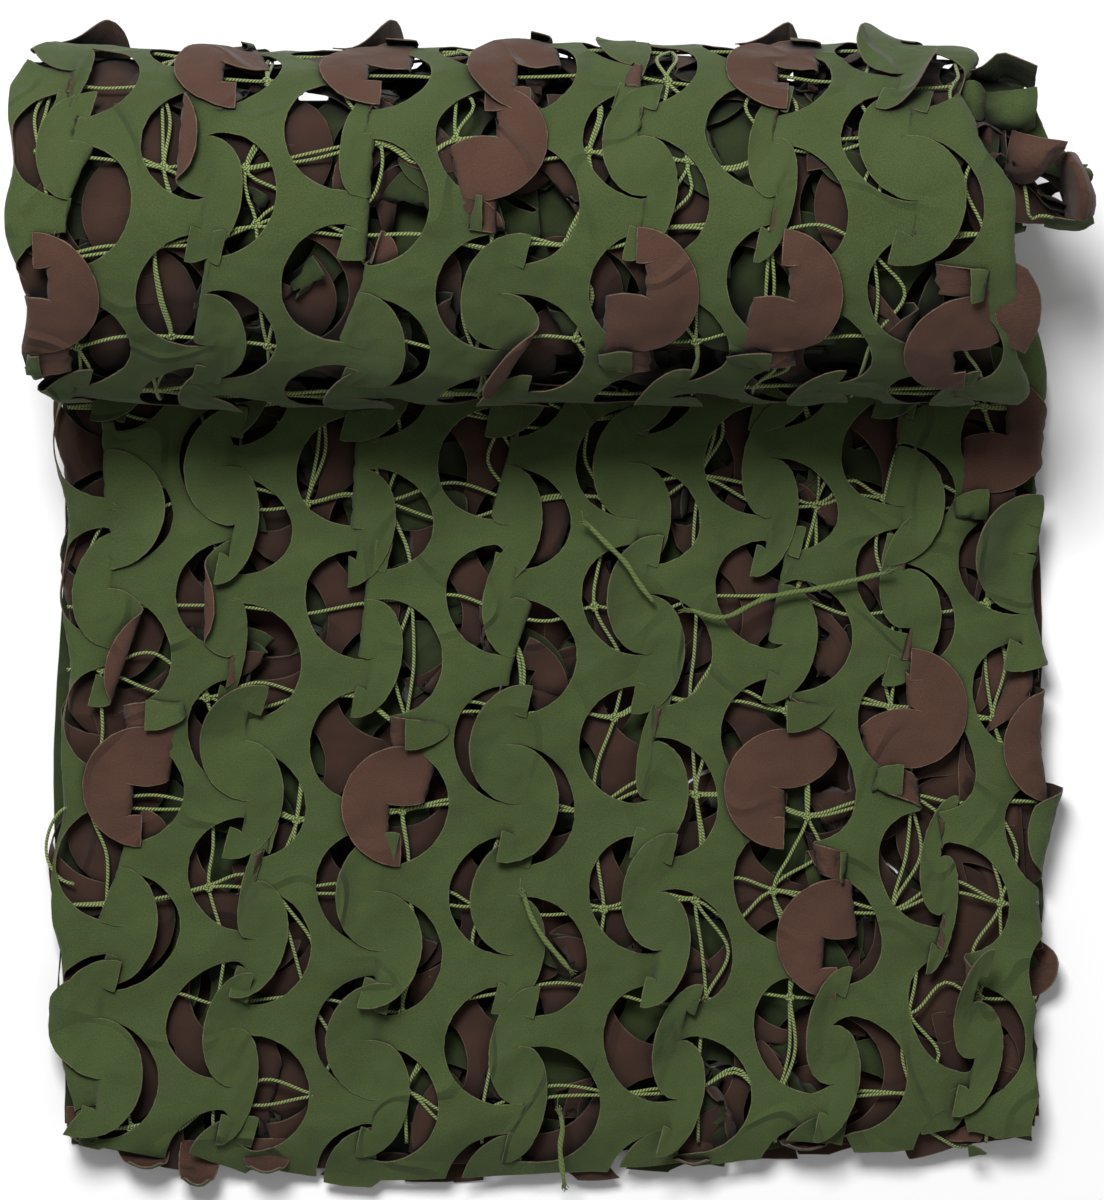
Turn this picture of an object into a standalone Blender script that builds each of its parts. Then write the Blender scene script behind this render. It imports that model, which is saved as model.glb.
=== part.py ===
"""A camouflage net, folded lengthwise into a strip and rolled up at its far end.

Metres, +Z up. +X runs along the roll, +Y from the strip's free end towards the roll, and the
origin is on the surface that the net lies on, under the middle of its box.
"""

import math

import bmesh
import bpy
from mathutils import Vector
from mathutils.geometry import delaunay_2d_cdt

# ---------------------------------------------------------------- driving dimensions

CLOTH = 0.0020  # thickness of the cloth as it lies
RISE = 0.0085  # from the middle of one layer to the middle of the next
LAYERS = 4  # the strip's layers, folded back and forth
FREE_END_Y = -0.2550  # the strip's cut end, at its corners
LAYERS_END_Y = 0.1770  # where the upper layers end, inside the roll

ROLL_Y = 0.1880  # the roll's axis
ROLL_Z = 0.0785
ROLL_HALF_DEPTH = 0.0865  # along Y
ROLL_HALF_HEIGHT = 0.0800
WOUND_INSET = 0.0045  # the wound body's surface, inside the middle of the outer turn
TUCK_ANGLE = 214.0  # degrees round from the back, where the outer turn goes into the wound body
TUCK_EASE = 30.0  # degrees over which the ridges fade before the tuck
TUCK_DEPTH = 0.0110  # how far in the outer turn's end goes
TUCK_TURN = 14.0  # degrees over which it goes in
RIDGES_FROM = -70.0  # degrees round, where the outer turn leaves the surface and its ridges begin
RIDGES_FULL = -30.0
GROOVE = 0.0032  # the space between the inner turns, at the roll's ends
GROOVE_DEPTH = 0.0180
GROOVE_TURNS = 2.6
GROOVE_RADII = (0.0150, 0.0630)  # where the spiral starts and ends
GROOVE_ENDS = (-0.247, 0.206)  # x of the roll's two ends, near the axis

LEAF_RADIUS = 0.0295  # the round leaves cut in the cloth
LEAF_PERIOD = 0.0745  # from one leaf to the next down a column
COLUMN_COUNT = 7
COLUMN_PITCH = 0.0690
FIRST_COLUMN_X = -0.2260
FIRST_COLUMN_IN = 0.0140  # from a layer's left fold to its first column
LEAF_STEP = 0.0300  # a column's right-hand leaves sit this much below its left-hand ones
LOWEST_LEAF = 0.0400  # the strip's lowest left-hand leaves, from the cut end's corners
UNDERSIDE_DROP = 0.0200  # how much lower the leaves are on the underside
SLACK = 0.0085  # how far a plain leaf lags behind its hole, which is the gap's width
OPEN_SLACK = 0.0250  # the gap where a leaf has curled away and left its hole open
LEAF_LIFT = 0.0022  # the least that a leaf's round edge stands off the cloth
LEAF_LIFT_MORE = 0.0030  # how much more the most lifted plain leaves stand
LEAF_MARGIN = 0.0040  # whole cloth left between a gap and the cloth's edge
EDGE_RIPPLE = 0.0035  # how far the long edges dip where they cross a hole

NET_PITCH = 0.0500  # the carrier net's mesh
NET_CORD = 0.0026
NET_MESHES = (9, 7)  # across and along
NET_START = (-0.2345, -0.2500)  # x and y of its first knot
NET_WANDER = 0.0040  # how far its knots lie off an even grid
NET_LOOP = 0.0110  # how far its slack loops hang out past the strip's left edge
TIE_CORD = 0.0025
SEAT = 0.0003  # gap between a piece and what it lies on

# The stacked layers rise and sink in two crossing waves.
SWELLS = (
    # height, length along x, length along y, phase
    (0.0021, 0.27, 0.33, 0.7),
    (0.0013, 0.17, -0.21, 2.1),
)
# The roll's surface is drawn into ridges, which slant along it.
RIDGES = (
    # height, ridges round the roll, x to slant by one radian
    (0.0016, 3.0, 0.055),
    (0.0012, 5.0, -0.037),
)
# The strip's two long edges, and the roll's two ends, wander as the cloth bulges.
STRIP_EDGES = (
    # y, left x, right x
    (-0.290, -0.231, 0.229),
    (-0.224, -0.240, 0.233),
    (-0.134, -0.247, 0.236),
    (-0.064, -0.240, 0.234),
    (0.016, -0.240, 0.232),
    (0.106, -0.244, 0.236),
    (0.196, -0.240, 0.228),
)
ROLL_ENDS = (
    # degrees round from the back, left x, right x
    (-90.0, -0.241, 0.229),
    (0.0, -0.240, 0.200),
    (50.0, -0.255, 0.208),
    (90.0, -0.253, 0.216),
    (130.0, -0.247, 0.227),
    (180.0, -0.242, 0.224),
    (220.0, -0.240, 0.222),
)
# The free end bows out past its corners.
FREE_END_BOW = (
    # x, how far it reaches past the corners
    (-0.250, 0.006),
    (-0.170, 0.018),
    (-0.100, 0.027),
    (0.020, 0.022),
    (0.150, 0.012),
    (0.250, 0.002),
)
# Leaves that have curled or turned away from their holes: the rows of each column, counted
# from the free end on the strip and from the surface up on the roll.
OPEN_ON_STRIP = (
    # column, rows on its left, rows on its right
    (0, (1, 3), (2,)),
    (1, (0, 2, 4), (1, 4)),
    (2, (2,), (3,)),
    (3, (0, 3), (1, 4)),
    (4, (2, 4), (1, 3)),
    (5, (1, 2), (0, 2, 4)),
    (6, (2,), (1, 3)),
)
OPEN_ON_ROLL = (
    # column, rows on its left, rows on its right
    (0, (3,), (3, 5)),
    (1, (3, 4), (3, 4)),
    (2, (3, 4), (3, 5)),
    (3, (3, 5), (2, 4)),
    (4, (1, 4), (3, 4)),
    (5, (2, 3), (4, 5)),
    (6, (3, 4), (3,)),
)
OPEN_UNDERNEATH = (
    # column, rows on its left, rows on its right
    (1, (2,), ()),
    (4, (), (3,)),
)
# Leaves of the outer turn that stand out, by column and row.
STANDING_ON_ROLL = (
    # column, row, side, height
    (0, 1, "right", 0.010),
    (1, 1, "right", 0.011),
    (2, 2, "left", 0.010),
    (4, 1, "right", 0.010),
    (5, 2, "left", 0.011),
    (6, 2, "left", 0.010),
    (6, 3, "right", 0.007),
    (3, 4, "left", 0.009),
)
# The crumpled tail that the inner turns push out of the roll's right end.
TAIL_SECTIONS = (
    # x, middle y, middle z, radius, turn in degrees
    (0.180, 0.208, 0.092, 0.036, 0.0),
    (0.214, 0.212, 0.096, 0.042, 10.0),
    (0.230, 0.215, 0.099, 0.045, 24.0),
    (0.245, 0.212, 0.098, 0.040, 40.0),
    (0.258, 0.206, 0.096, 0.030, 58.0),
)
TAIL_FOLDS = (
    # share of the radius, folds round it, phase, radians of twist in a metre
    (0.20, 5.0, 1.57, 0.0),
    (0.07, 3.0, 0.0, 60.0),
)
TAIL_MEAN = 0.80  # share of the radius, halfway down the folds
# The loose cord ends: how far each lies above the cloth's face, and its x and y on the strip.
OVER_LEAVES = 0.0052
ON_CLOTH = 0.0006
CORD_ENDS = (
    # name, height above the cloth, route
    (
        "cord_end_a",
        OVER_LEAVES,
        ((0.0150, 0.0438), (0.0240, 0.0345), (0.0330, 0.0255), (0.0402, 0.0145), (0.0470, 0.0060)),
    ),
    (
        "cord_end_b",
        OVER_LEAVES,
        ((0.0650, 0.0020), (0.0820, -0.0015), (0.1030, 0.0080), (0.1320, 0.0135), (0.1620, 0.0205)),
    ),
    (
        "cord_end_c",
        OVER_LEAVES,
        ((-0.0170, -0.1385), (-0.0130, -0.1500), (-0.0070, -0.1600), (0.0005, -0.1690), (0.0055, -0.1750)),
    ),
    (
        "cord_end_d",
        ON_CLOTH,
        ((0.0010, -0.2460), (0.0022, -0.2540), (0.0010, -0.2630), (0.0018, -0.2720), (0.0030, -0.2810)),
    ),
)

CLOTH_GREEN = (0.062, 0.113, 0.031, 1.0)
CORD_GREEN = (0.215, 0.300, 0.080, 1.0)
YARN_OLIVE = (0.110, 0.150, 0.035, 1.0)


# ---------------------------------------------------------------- scene, materials, helpers


def clear_scene():
    for old in list(bpy.data.objects):
        bpy.data.objects.remove(old, do_unlink=True)


def new_collection(name):
    made = bpy.data.collections.new(name)
    bpy.context.scene.collection.children.link(made)
    return made


def new_material(name, colour, roughness):
    made = bpy.data.materials.new(name)
    made.use_nodes = True
    shader = made.node_tree.nodes["Principled BSDF"]
    shader.inputs["Base Color"].default_value = colour
    shader.inputs["Roughness"].default_value = roughness
    shader.inputs["Metallic"].default_value = 0.0
    return made


def new_object(name, mesh, collection, material=None):
    made = bpy.data.objects.new(name, mesh)
    collection.objects.link(made)
    if material:
        mesh.materials.append(material)
    return made


def mesh_of(name, points, faces):
    """A mesh from a sheet or a loft, with its faces turned to agree with each other."""
    form = bmesh.new()
    corners = [form.verts.new(point) for point in points]
    for face in faces:
        form.faces.new([corners[i] for i in face])
    bmesh.ops.recalc_face_normals(form, faces=form.faces)
    mesh = bpy.data.meshes.new(name)
    form.to_mesh(mesh)
    form.free()
    return mesh


def smooth(t):
    """0 to 1, with no corner at either end."""
    t = min(1.0, max(0.0, t))
    return t * t * (3.0 - 2.0 * t)


def read_row(table, key):
    """A table's row at key, eased between the rows on either side of it."""
    if key <= table[0][0]:
        return table[0][1:]
    for low, high in zip(table, table[1:]):
        if key <= high[0]:
            part = smooth((key - low[0]) / (high[0] - low[0]))
            return tuple(a + (b - a) * part for a, b in zip(low[1:], high[1:]))
    return table[-1][1:]


# ---------------------------------------------------------------- how the strip and the roll lie


def swell(x, y):
    """How the stacked layers rise and sink over the strip."""
    rise = 0.0
    for height, length_x, length_y, phase in SWELLS:
        rise += height * math.sin(2.0 * math.pi * (x / length_x + y / length_y) + phase)
    return rise


def layer_height(layer, x, y):
    """Height of the middle of a layer. The lowest one is flat on the surface."""
    flat = CLOTH / 2.0 + RISE * layer
    return flat + swell(x, y) * layer / (LAYERS - 1)


def roll_point(angle, x, inset):
    """A point on the roll: degrees round from the back over the top, and how far in it lies."""
    turn = math.radians(angle)
    lie = -inset
    grown = smooth((angle - RIDGES_FROM) / (RIDGES_FULL - RIDGES_FROM))
    left_over = smooth((TUCK_ANGLE - angle) / TUCK_EASE)
    for height, count, slant in RIDGES:
        lie += height * math.sin(count * turn + x / slant) * grown * left_over
    y = ROLL_Y + (ROLL_HALF_DEPTH + lie) * math.cos(turn)
    z = ROLL_Z + (ROLL_HALF_HEIGHT + lie) * math.sin(turn)
    return y, max(z, CLOTH / 2.0 + inset)


def turn_path():
    """(distance from the free end, degrees) round the outer turn, one row a degree."""
    rows = [(ROLL_Y - FREE_END_Y, -90.0)]
    last = (ROLL_Y, CLOTH / 2.0)
    for step in range(1, int(TUCK_ANGLE + 90.0) + 1):
        angle = -90.0 + step
        here = roll_point(angle, 0.0, 0.0)
        rows.append((rows[-1][0] + math.dist(last, here), angle))
        last = here
    return rows


TURN_PATH = turn_path()
TURN_START = TURN_PATH[0][0]
CLOTH_LENGTH = TURN_PATH[-1][0]


def angle_at(distance):
    for low, high in zip(TURN_PATH, TURN_PATH[1:]):
        if distance <= high[0]:
            return low[1] + (high[1] - low[1]) * (distance - low[0]) / (high[0] - low[0])
    return TURN_PATH[-1][1]


def distance_at(angle):
    return next(row[0] for row in TURN_PATH if row[1] >= angle)


# ---------------------------------------------------------------- the flat cloth and its leaves

FOLD_WIDTH = math.pi * RISE / 2.0  # cloth that goes round one fold
FOLD_STEPS = 3
RUN_WIDTH = 0.474  # cloth from one fold to the next
RUN_STEPS = 8
RUN_PITCH = RUN_WIDTH + FOLD_WIDTH
STRIP_STEPS = 12
TURN_STEPS = 24
COLUMNS = tuple(FIRST_COLUMN_X + COLUMN_PITCH * i for i in range(COLUMN_COUNT))
LEFT_X = COLUMNS[0] - FIRST_COLUMN_IN
LEAF_ROWS = 9
# The roll's lowest left-hand leaves: three periods below the ones near its top.
TURN_LEAF = distance_at(65.0) - 3.0 * LEAF_PERIOD


def across(layer, x):
    """Place across the flat cloth of a point at x in a layer: odd layers run right to left."""
    along = x - LEFT_X
    return layer * RUN_PITCH + (along if layer % 2 == 0 else RUN_WIDTH - along)


def is_open(table, column, row, side):
    for table_column, left_rows, right_rows in table:
        if table_column == column:
            return row in (left_rows if side == "left" else right_rows)
    return False


def leaves_between(layer, first_row, low, high, opened, standing):
    """(layer, side, x, distance, gap, lift) of each leaf whose gap has cloth all round it.

    The lowest layer lies face down, so its right-hand leaves are the farther ones instead.
    """
    step = -LEAF_STEP if layer else LEAF_STEP
    margin = LEAF_RADIUS + LEAF_MARGIN
    right_x = LEFT_X + RUN_WIDTH
    found = []
    for column, x in enumerate(COLUMNS):
        for row in range(LEAF_ROWS):
            for side, offset, reach in (("left", 0.0, -margin), ("right", step, margin)):
                distance = first_row + row * LEAF_PERIOD + offset
                inside = LEFT_X < x + reach < right_x and LEFT_X < x < right_x - LEAF_MARGIN
                if not inside or not low + margin < distance < high - margin:
                    continue
                gap = SLACK * (0.80 + 0.15 * ((2 * column + 3 * row) % 4))
                if is_open(opened, column, row, side):
                    gap = OPEN_SLACK
                lift = LEAF_LIFT + LEAF_LIFT_MORE * ((3 * column + 5 * row) % 4) / 3.0
                for *key, height in standing:
                    if key == [column, row, side]:
                        lift = height
                found.append((layer, side, x, distance, gap, lift))
    return found


LEAVES = (
    leaves_between(LAYERS - 1, LOWEST_LEAF, -0.012, 0.388, OPEN_ON_STRIP, ())
    + leaves_between(
        0,
        TURN_LEAF,
        distance_at(-50.0),
        distance_at(TUCK_ANGLE - 16.0),
        OPEN_ON_ROLL,
        STANDING_ON_ROLL,
    )
    + leaves_between(0, LOWEST_LEAF - UNDERSIDE_DROP, 0.004, 0.388, OPEN_UNDERNEATH, ())
)


def leaf_gap(x, distance, side, gap):
    """The crescent between a hole's round edge and its leaf, as points from one tip round."""
    sign = -1.0 if side == "left" else 1.0
    rims = ((LEAF_RADIUS, 1.0, 5, range(6)), (LEAF_RADIUS - gap, -1.0, 4, range(1, 4)))
    points = []
    for reach, way, steps, stops in rims:
        for stop in stops:
            turn = math.pi * way * (0.5 - stop / steps)
            points.append((x + sign * reach * math.cos(turn), distance + LEAF_RADIUS * math.sin(turn)))
    return points


def lift_at(layer, x, distance):
    """How far a leaf stands off the cloth at this point of it."""
    for leaf_layer, side, leaf_x, leaf_distance, gap, height in LEAVES:
        if leaf_layer != layer:
            continue
        out = (x - leaf_x) * (-1.0 if side == "left" else 1.0)
        off = math.hypot(x - leaf_x, distance - leaf_distance)
        reach = LEAF_RADIUS - gap
        if 0.001 < out < reach + 0.001 and off < LEAF_RADIUS * 0.985:
            return height * smooth(out / reach)
    return 0.0


def cloth_point(u, v):
    """Where a point of the flat cloth lies: u across its layers and folds, v from the free end."""
    layer = min(LAYERS - 1, int(u // RUN_PITCH))
    along = u - layer * RUN_PITCH
    fold = max(0.0, along - RUN_WIDTH) / FOLD_WIDTH
    share = min(along, RUN_WIDTH) / RUN_WIDTH
    if layer % 2:
        share = 1.0 - share
    flat_x = LEFT_X + share * RUN_WIDTH
    on_roll = layer == 0 and v > TURN_START
    angle = angle_at(v) if on_roll else -90.0
    y = FREE_END_Y + v
    left, right = read_row(ROLL_ENDS, angle) if on_roll else read_row(STRIP_EDGES, y)
    ripple = 2.0 * math.pi * v / LEAF_PERIOD + 1.3 * layer
    left += EDGE_RIPPLE * math.sin(ripple)
    right += EDGE_RIPPLE * math.sin(ripple + 2.2)
    x = left + share * (right - left)
    if on_roll:
        buried = TUCK_DEPTH * smooth((angle - TUCK_ANGLE + TUCK_TURN) / TUCK_TURN)
        y, z = roll_point(angle, x, buried - lift_at(layer, flat_x, v))
        return Vector((x, y, z))
    z = layer_height(layer, x, y)
    if fold:
        upper = layer_height(layer + 1, x, y)
        radius = (upper - z) / 2.0
        swing = math.pi * fold
        x += radius * math.sin(swing) * (-1.0 if layer % 2 else 1.0)
        z = (z + upper) / 2.0 - radius * math.cos(swing)
    elif layer == LAYERS - 1:
        z += lift_at(layer, flat_x, v)
    return Vector((x, y, z))


def end_reach(u):
    """How far the bowed free end lies past its corners, at a place across the flat cloth."""
    layer = min(LAYERS - 1, int(u // RUN_PITCH))
    along = min(u - layer * RUN_PITCH, RUN_WIDTH)
    x = LEFT_X + (RUN_WIDTH - along if layer % 2 else along)
    return read_row(FREE_END_BOW, x)[0]


def cloth_pattern():
    """The flat cloth: its outline and its gaps, and the points that let it bend."""
    upper_length = LAYERS_END_Y - FREE_END_Y
    full_width = LAYERS * RUN_PITCH - FOLD_WIDTH
    points, outlines = [], []

    def add(u, v):
        points.append(Vector((u, v)))
        return len(points) - 1

    run = [RUN_WIDTH * i / RUN_STEPS for i in range(RUN_STEPS + 1)]
    columns = [k * RUN_PITCH + along for k in range(LAYERS) for along in run]
    for k in range(LAYERS - 1):
        for i in range(1, FOLD_STEPS):
            columns.append(k * RUN_PITCH + RUN_WIDTH + FOLD_WIDTH * i / FOLD_STEPS)
    columns.sort()
    rows = [upper_length * i / STRIP_STEPS for i in range(STRIP_STEPS + 1)]
    turn_rows = [upper_length]
    for i in range(1, TURN_STEPS + 1):
        turn_rows.append(upper_length + (CLOTH_LENGTH - upper_length) * i / TURN_STEPS)
    outline = [add(u, -end_reach(u)) for u in columns]
    outline += [add(full_width, v) for v in rows[1:]]
    outline += [add(u, upper_length) for u in reversed(columns[RUN_STEPS + 1 : -1])]
    outline += [add(RUN_WIDTH, v) for v in turn_rows]
    outline += [add(u, CLOTH_LENGTH) for u in reversed(run[1:-1])]
    outline += [add(0.0, v) for v in reversed(turn_rows)]
    outline += [add(0.0, v) for v in reversed(rows[1:-1])]
    outlines.append(outline)

    for layer, side, x, distance, gap, _ in LEAVES:
        corners = [(across(layer, cx), cv) for cx, cv in leaf_gap(x, distance, side, gap)]
        if (side == "right") == (layer % 2 == 0):
            corners.reverse()  # every outline here runs anticlockwise
        outlines.append([add(u, v) for u, v in corners])

    inner = [(u, v) for v in rows[1:-1] for u in columns[1:-1]]
    inner += [(u, v) for v in turn_rows[1:-1] for u in run[1:-1]]
    return points, outlines, inner


def clear_of_gaps(u, v, gap_boxes):
    """Whether a bend point is far enough from every gap not to make slivers."""
    near = 0.004
    return not any(
        low[0] - near < u < high[0] + near and low[1] - near < v < high[1] + near
        for low, high in gap_boxes
    )


def garnish_cloth(collection, material):
    """One sheet, folded back and forth, whose lowest layer goes on round the roll."""
    points, outlines, inner = cloth_pattern()
    gap_boxes = []
    for gap in outlines[1:]:
        us = [points[i].x for i in gap]
        vs = [points[i].y for i in gap]
        gap_boxes.append(((min(us), min(vs)), (max(us), max(vs))))
    for u, v in inner:
        on_fold = min(abs(u % RUN_PITCH - RUN_WIDTH), u % RUN_PITCH) < 0.001
        if on_fold or clear_of_gaps(u, v, gap_boxes):
            points.append(Vector((u, v)))
    flat, _, pieces, _, _, sources = delaunay_2d_cdt(points, [], outlines, 1, 1e-6, True)
    cloth = [piece for piece, source in zip(pieces, sources) if source == [0]]
    used = sorted({i for piece in cloth for i in piece})
    place = {old: new for new, old in enumerate(used)}
    sheet = mesh_of(
        "garnish_cloth",
        [cloth_point(flat[i].x, flat[i].y) for i in used],
        [[place[i] for i in piece] for piece in cloth],
    )
    made = new_object("garnish_cloth", sheet, collection, material)
    thicken = made.modifiers.new("cloth thickness", "SOLIDIFY")
    thicken.thickness = CLOTH
    thicken.offset = 0.0
    thicken.use_even_offset = False
    return made


# ---------------------------------------------------------------- the wound body of the roll


def loft(name, rings):
    """A closed form through rings of as many points each, closed by a point at either end."""
    points = [point for ring in rings for point in ring]
    count = len(rings[0])
    faces = []
    for r in range(len(rings) - 1):
        for i in range(count):
            j = (i + 1) % count
            faces.append((r * count + i, r * count + j, (r + 1) * count + j, (r + 1) * count + i))
    for ring, order in ((0, -1), (len(rings) - 1, 1)):
        middle = sum((Vector(p) for p in rings[ring]), Vector()) / count
        points.append(middle)
        for i in range(count):
            pair = (ring * count + i, ring * count + (i + 1) % count)
            faces.append((len(points) - 1,) + pair[::order])
    return mesh_of(name, points, faces)


def wound_body(collection):
    """The turns inside the outer one, as one body with the same ridges."""
    stations, corners, end_inset = 10, 30, 0.007
    rings = []
    for s in range(stations + 1):
        share = s / stations
        ring = []
        for step in range(corners):
            angle = -90.0 + 360.0 * step / corners
            left, right = read_row(ROLL_ENDS, angle)
            x = left + end_inset + share * (right - left - 2.0 * end_inset)
            y, z = roll_point(angle, x, WOUND_INSET)
            ring.append((x, y, z))
        rings.append(ring)
    return new_object("wound_body", loft("wound_body", rings), collection)


def spiral_groove(collection, name, x):
    """The space between the turns, as it shows at an end of the roll."""
    per_turn = 14
    half, depth = GROOVE / 2.0, GROOVE_DEPTH
    inner, outer = GROOVE_RADII
    rings = []
    total = int(GROOVE_TURNS * per_turn)
    for step in range(total + 1):
        turn = 2.0 * math.pi * step / per_turn - 1.2
        radius = inner + (outer - inner) * step / total
        ring = []
        for dx, dr in ((-depth, -half), (depth, -half), (depth, half), (-depth, half)):
            reach = radius + dr
            ring.append((x + dx, ROLL_Y + reach * math.cos(turn), ROLL_Z + reach * math.sin(turn)))
        rings.append(ring)
    return new_object(name, loft(name, rings), collection)


def tail(collection):
    """The inner turns' ends, bunched in deep folds and pushed out past the roll's right end."""
    corners = 20
    rings = []
    for x, y, z, radius, turned in TAIL_SECTIONS:
        ring = []
        for step in range(corners):
            turn = 2.0 * math.pi * step / corners
            fold = TAIL_MEAN
            for share, count, phase, twist in TAIL_FOLDS:
                fold += share * math.sin(count * turn + phase + twist * x)
            swing = turn + math.radians(turned)
            ring.append((x, y + radius * fold * math.cos(swing), z + radius * fold * math.sin(swing)))
        rings.append(ring)
    return new_object("tail", loft("tail", rings), collection)


def join(body, tool, operation):
    """A Boolean of tool on body, kept as a modifier."""
    step = body.modifiers.new(operation.lower() + " " + tool.name, "BOOLEAN")
    step.operation = operation
    step.object = tool
    step.solver = "EXACT"
    tool.hide_render = True
    tool.display_type = "WIRE"


# ---------------------------------------------------------------- the carrier net and the cords


def carrier_net(collection, material):
    """Knotted square mesh behind the top layer, lying on the layer under it."""
    across_count, along_count = NET_MESHES
    form = bmesh.new()
    knots = {}
    for i in range(across_count + 1):
        for j in range(along_count + 1):
            x = NET_START[0] + NET_PITCH * i + NET_WANDER * math.sin(2.3 * i + 1.9 * j)
            y = NET_START[1] + NET_PITCH * j + NET_WANDER * math.sin(1.7 * i - 2.9 * j)
            if i == 0:
                x -= NET_LOOP * (j % 2)
            z = (layer_height(LAYERS - 2, x, y) + layer_height(LAYERS - 1, x, y)) / 2.0
            knots[i, j] = form.verts.new((x, y, z))
    for i in range(across_count):
        for j in range(along_count):
            form.faces.new((knots[i, j], knots[i + 1, j], knots[i + 1, j + 1], knots[i, j + 1]))
    mesh = bpy.data.meshes.new("carrier_net")
    form.to_mesh(mesh)
    form.free()
    made = new_object("carrier_net", mesh, collection, material)
    strands = made.modifiers.new("cords", "WIREFRAME")
    strands.thickness = NET_CORD
    strands.offset = 0.0
    strands.use_boundary = True
    strands.use_replace = True
    strands.use_even_offset = False
    return made


def through(points, count):
    """Evenly spaced points on a smooth curve through a route's own points."""
    ends = [points[0] * 2.0 - points[1]] + points + [points[-1] * 2.0 - points[-2]]
    fine = []
    for a, b, c, d in zip(ends, ends[1:], ends[2:], ends[3:]):
        for step in range(20):
            t = step / 20.0
            curve = b * 2.0 + (c - a) * t + (a * 2.0 - b * 5.0 + c * 4.0 - d) * t**2
            fine.append((curve + (b * 3.0 - a - c * 3.0 + d) * t**3) / 2.0)
    fine.append(points[-1])
    lengths = [0.0]
    for a, b in zip(fine, fine[1:]):
        lengths.append(lengths[-1] + (b - a).length)
    spaced = []
    for step in range(count):
        want = lengths[-1] * step / (count - 1)
        i = next(k for k in range(1, len(lengths)) if lengths[k] >= want - 1e-9)
        part = (want - lengths[i - 1]) / (lengths[i] - lengths[i - 1])
        spaced.append(fine[i - 1].lerp(fine[i], part))
    return spaced


def cord_end(name, height, flat_route, collection, material):
    """A round cord with filled ends, lying on the strip's top layer."""
    above = CLOTH / 2.0 + height + TIE_CORD / 2.0
    route = [Vector((x, y, layer_height(LAYERS - 1, x, y) + above)) for x, y in flat_route]
    length = sum((b - a).length for a, b in zip(route, route[1:]))
    points = through(route, max(8, int(length / (2.5 * TIE_CORD))))
    curve = bpy.data.curves.new(name, "CURVE")
    curve.dimensions = "3D"
    curve.bevel_depth = TIE_CORD / 2.0
    curve.bevel_resolution = 2
    curve.use_fill_caps = True
    spline = curve.splines.new("POLY")
    spline.points.add(len(points) - 1)
    for place, point in zip(spline.points, points):
        place.co = (point.x, point.y, point.z, 1.0)
    curve.materials.append(material)
    made = bpy.data.objects.new(name, curve)
    collection.objects.link(made)
    return made


# ---------------------------------------------------------------- build


def main():
    clear_scene()
    parts = new_collection("camouflage_net")
    cutters = new_collection("cutters")
    cloth_green = new_material("garnish cloth", CLOTH_GREEN, 0.9)
    cord_green = new_material("carrier cord", CORD_GREEN, 0.8)
    yarn_olive = new_material("olive yarn", YARN_OLIVE, 0.85)

    cloth = garnish_cloth(parts, cloth_green)
    body = wound_body(cutters)
    for name, x in zip(("left_groove", "right_groove"), GROOVE_ENDS):
        join(body, spiral_groove(cutters, name, x), "DIFFERENCE")
    join(cloth, body, "UNION")
    join(cloth, tail(cutters), "UNION")

    carrier_net(parts, cord_green)
    for name, height, route in CORD_ENDS:
        cord_end(name, height, route, parts, yarn_olive)


main()
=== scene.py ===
import math

import bmesh
import bpy
import numpy as np
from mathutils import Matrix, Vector
from mathutils.geometry import delaunay_2d_cdt
from mathutils.kdtree import KDTree


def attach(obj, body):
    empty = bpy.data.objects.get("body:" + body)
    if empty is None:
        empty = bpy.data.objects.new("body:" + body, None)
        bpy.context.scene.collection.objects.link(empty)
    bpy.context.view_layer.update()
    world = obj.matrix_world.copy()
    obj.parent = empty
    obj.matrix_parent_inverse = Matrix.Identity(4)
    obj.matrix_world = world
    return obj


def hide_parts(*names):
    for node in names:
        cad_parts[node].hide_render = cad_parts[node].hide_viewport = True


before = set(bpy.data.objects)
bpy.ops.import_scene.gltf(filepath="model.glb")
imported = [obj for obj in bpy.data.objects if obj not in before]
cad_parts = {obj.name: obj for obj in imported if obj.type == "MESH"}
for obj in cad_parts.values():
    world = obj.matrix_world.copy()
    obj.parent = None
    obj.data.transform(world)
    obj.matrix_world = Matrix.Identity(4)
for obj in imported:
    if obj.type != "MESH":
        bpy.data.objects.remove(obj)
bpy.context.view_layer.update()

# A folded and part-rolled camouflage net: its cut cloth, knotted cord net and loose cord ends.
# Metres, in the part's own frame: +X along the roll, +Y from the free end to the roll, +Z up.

# ------------------------------------------------------------------ the place it is laid in
# The bundle lies on a plain white surface and is looked at from straight above, through a
# long lens, with broad soft light that comes a little from behind the roll.

CAMERA_ABOVE = (-0.0030, 0.0070, 2.400)
VIEW_HEIGHT = 0.600  # what the picture takes in, at the surface
FILM = 36.0
SURFACE_HALF = 3.0
SURFACE_WHITE = (0.88, 0.88, 0.88, 1.0)
SKY_STRENGTH = 0.24
LIGHTS = (
    # name, where it hangs, the length of its side, its power
    ("light_overhead", (-0.45, 1.35, 2.4), 0.9, 90.0),
    ("light_front", (0.6, -1.4, 2.4), 1.8, 7.0),
)

scene = bpy.context.scene
scene.view_settings.view_transform = "Standard"
camera = bpy.data.objects.new("camera", bpy.data.cameras.new("camera"))
camera.data.type = "PERSP"
camera.data.sensor_width = FILM
camera.data.lens = FILM * CAMERA_ABOVE[2] / VIEW_HEIGHT
camera.location = CAMERA_ABOVE
scene.collection.objects.link(camera)
scene.camera = camera

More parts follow.
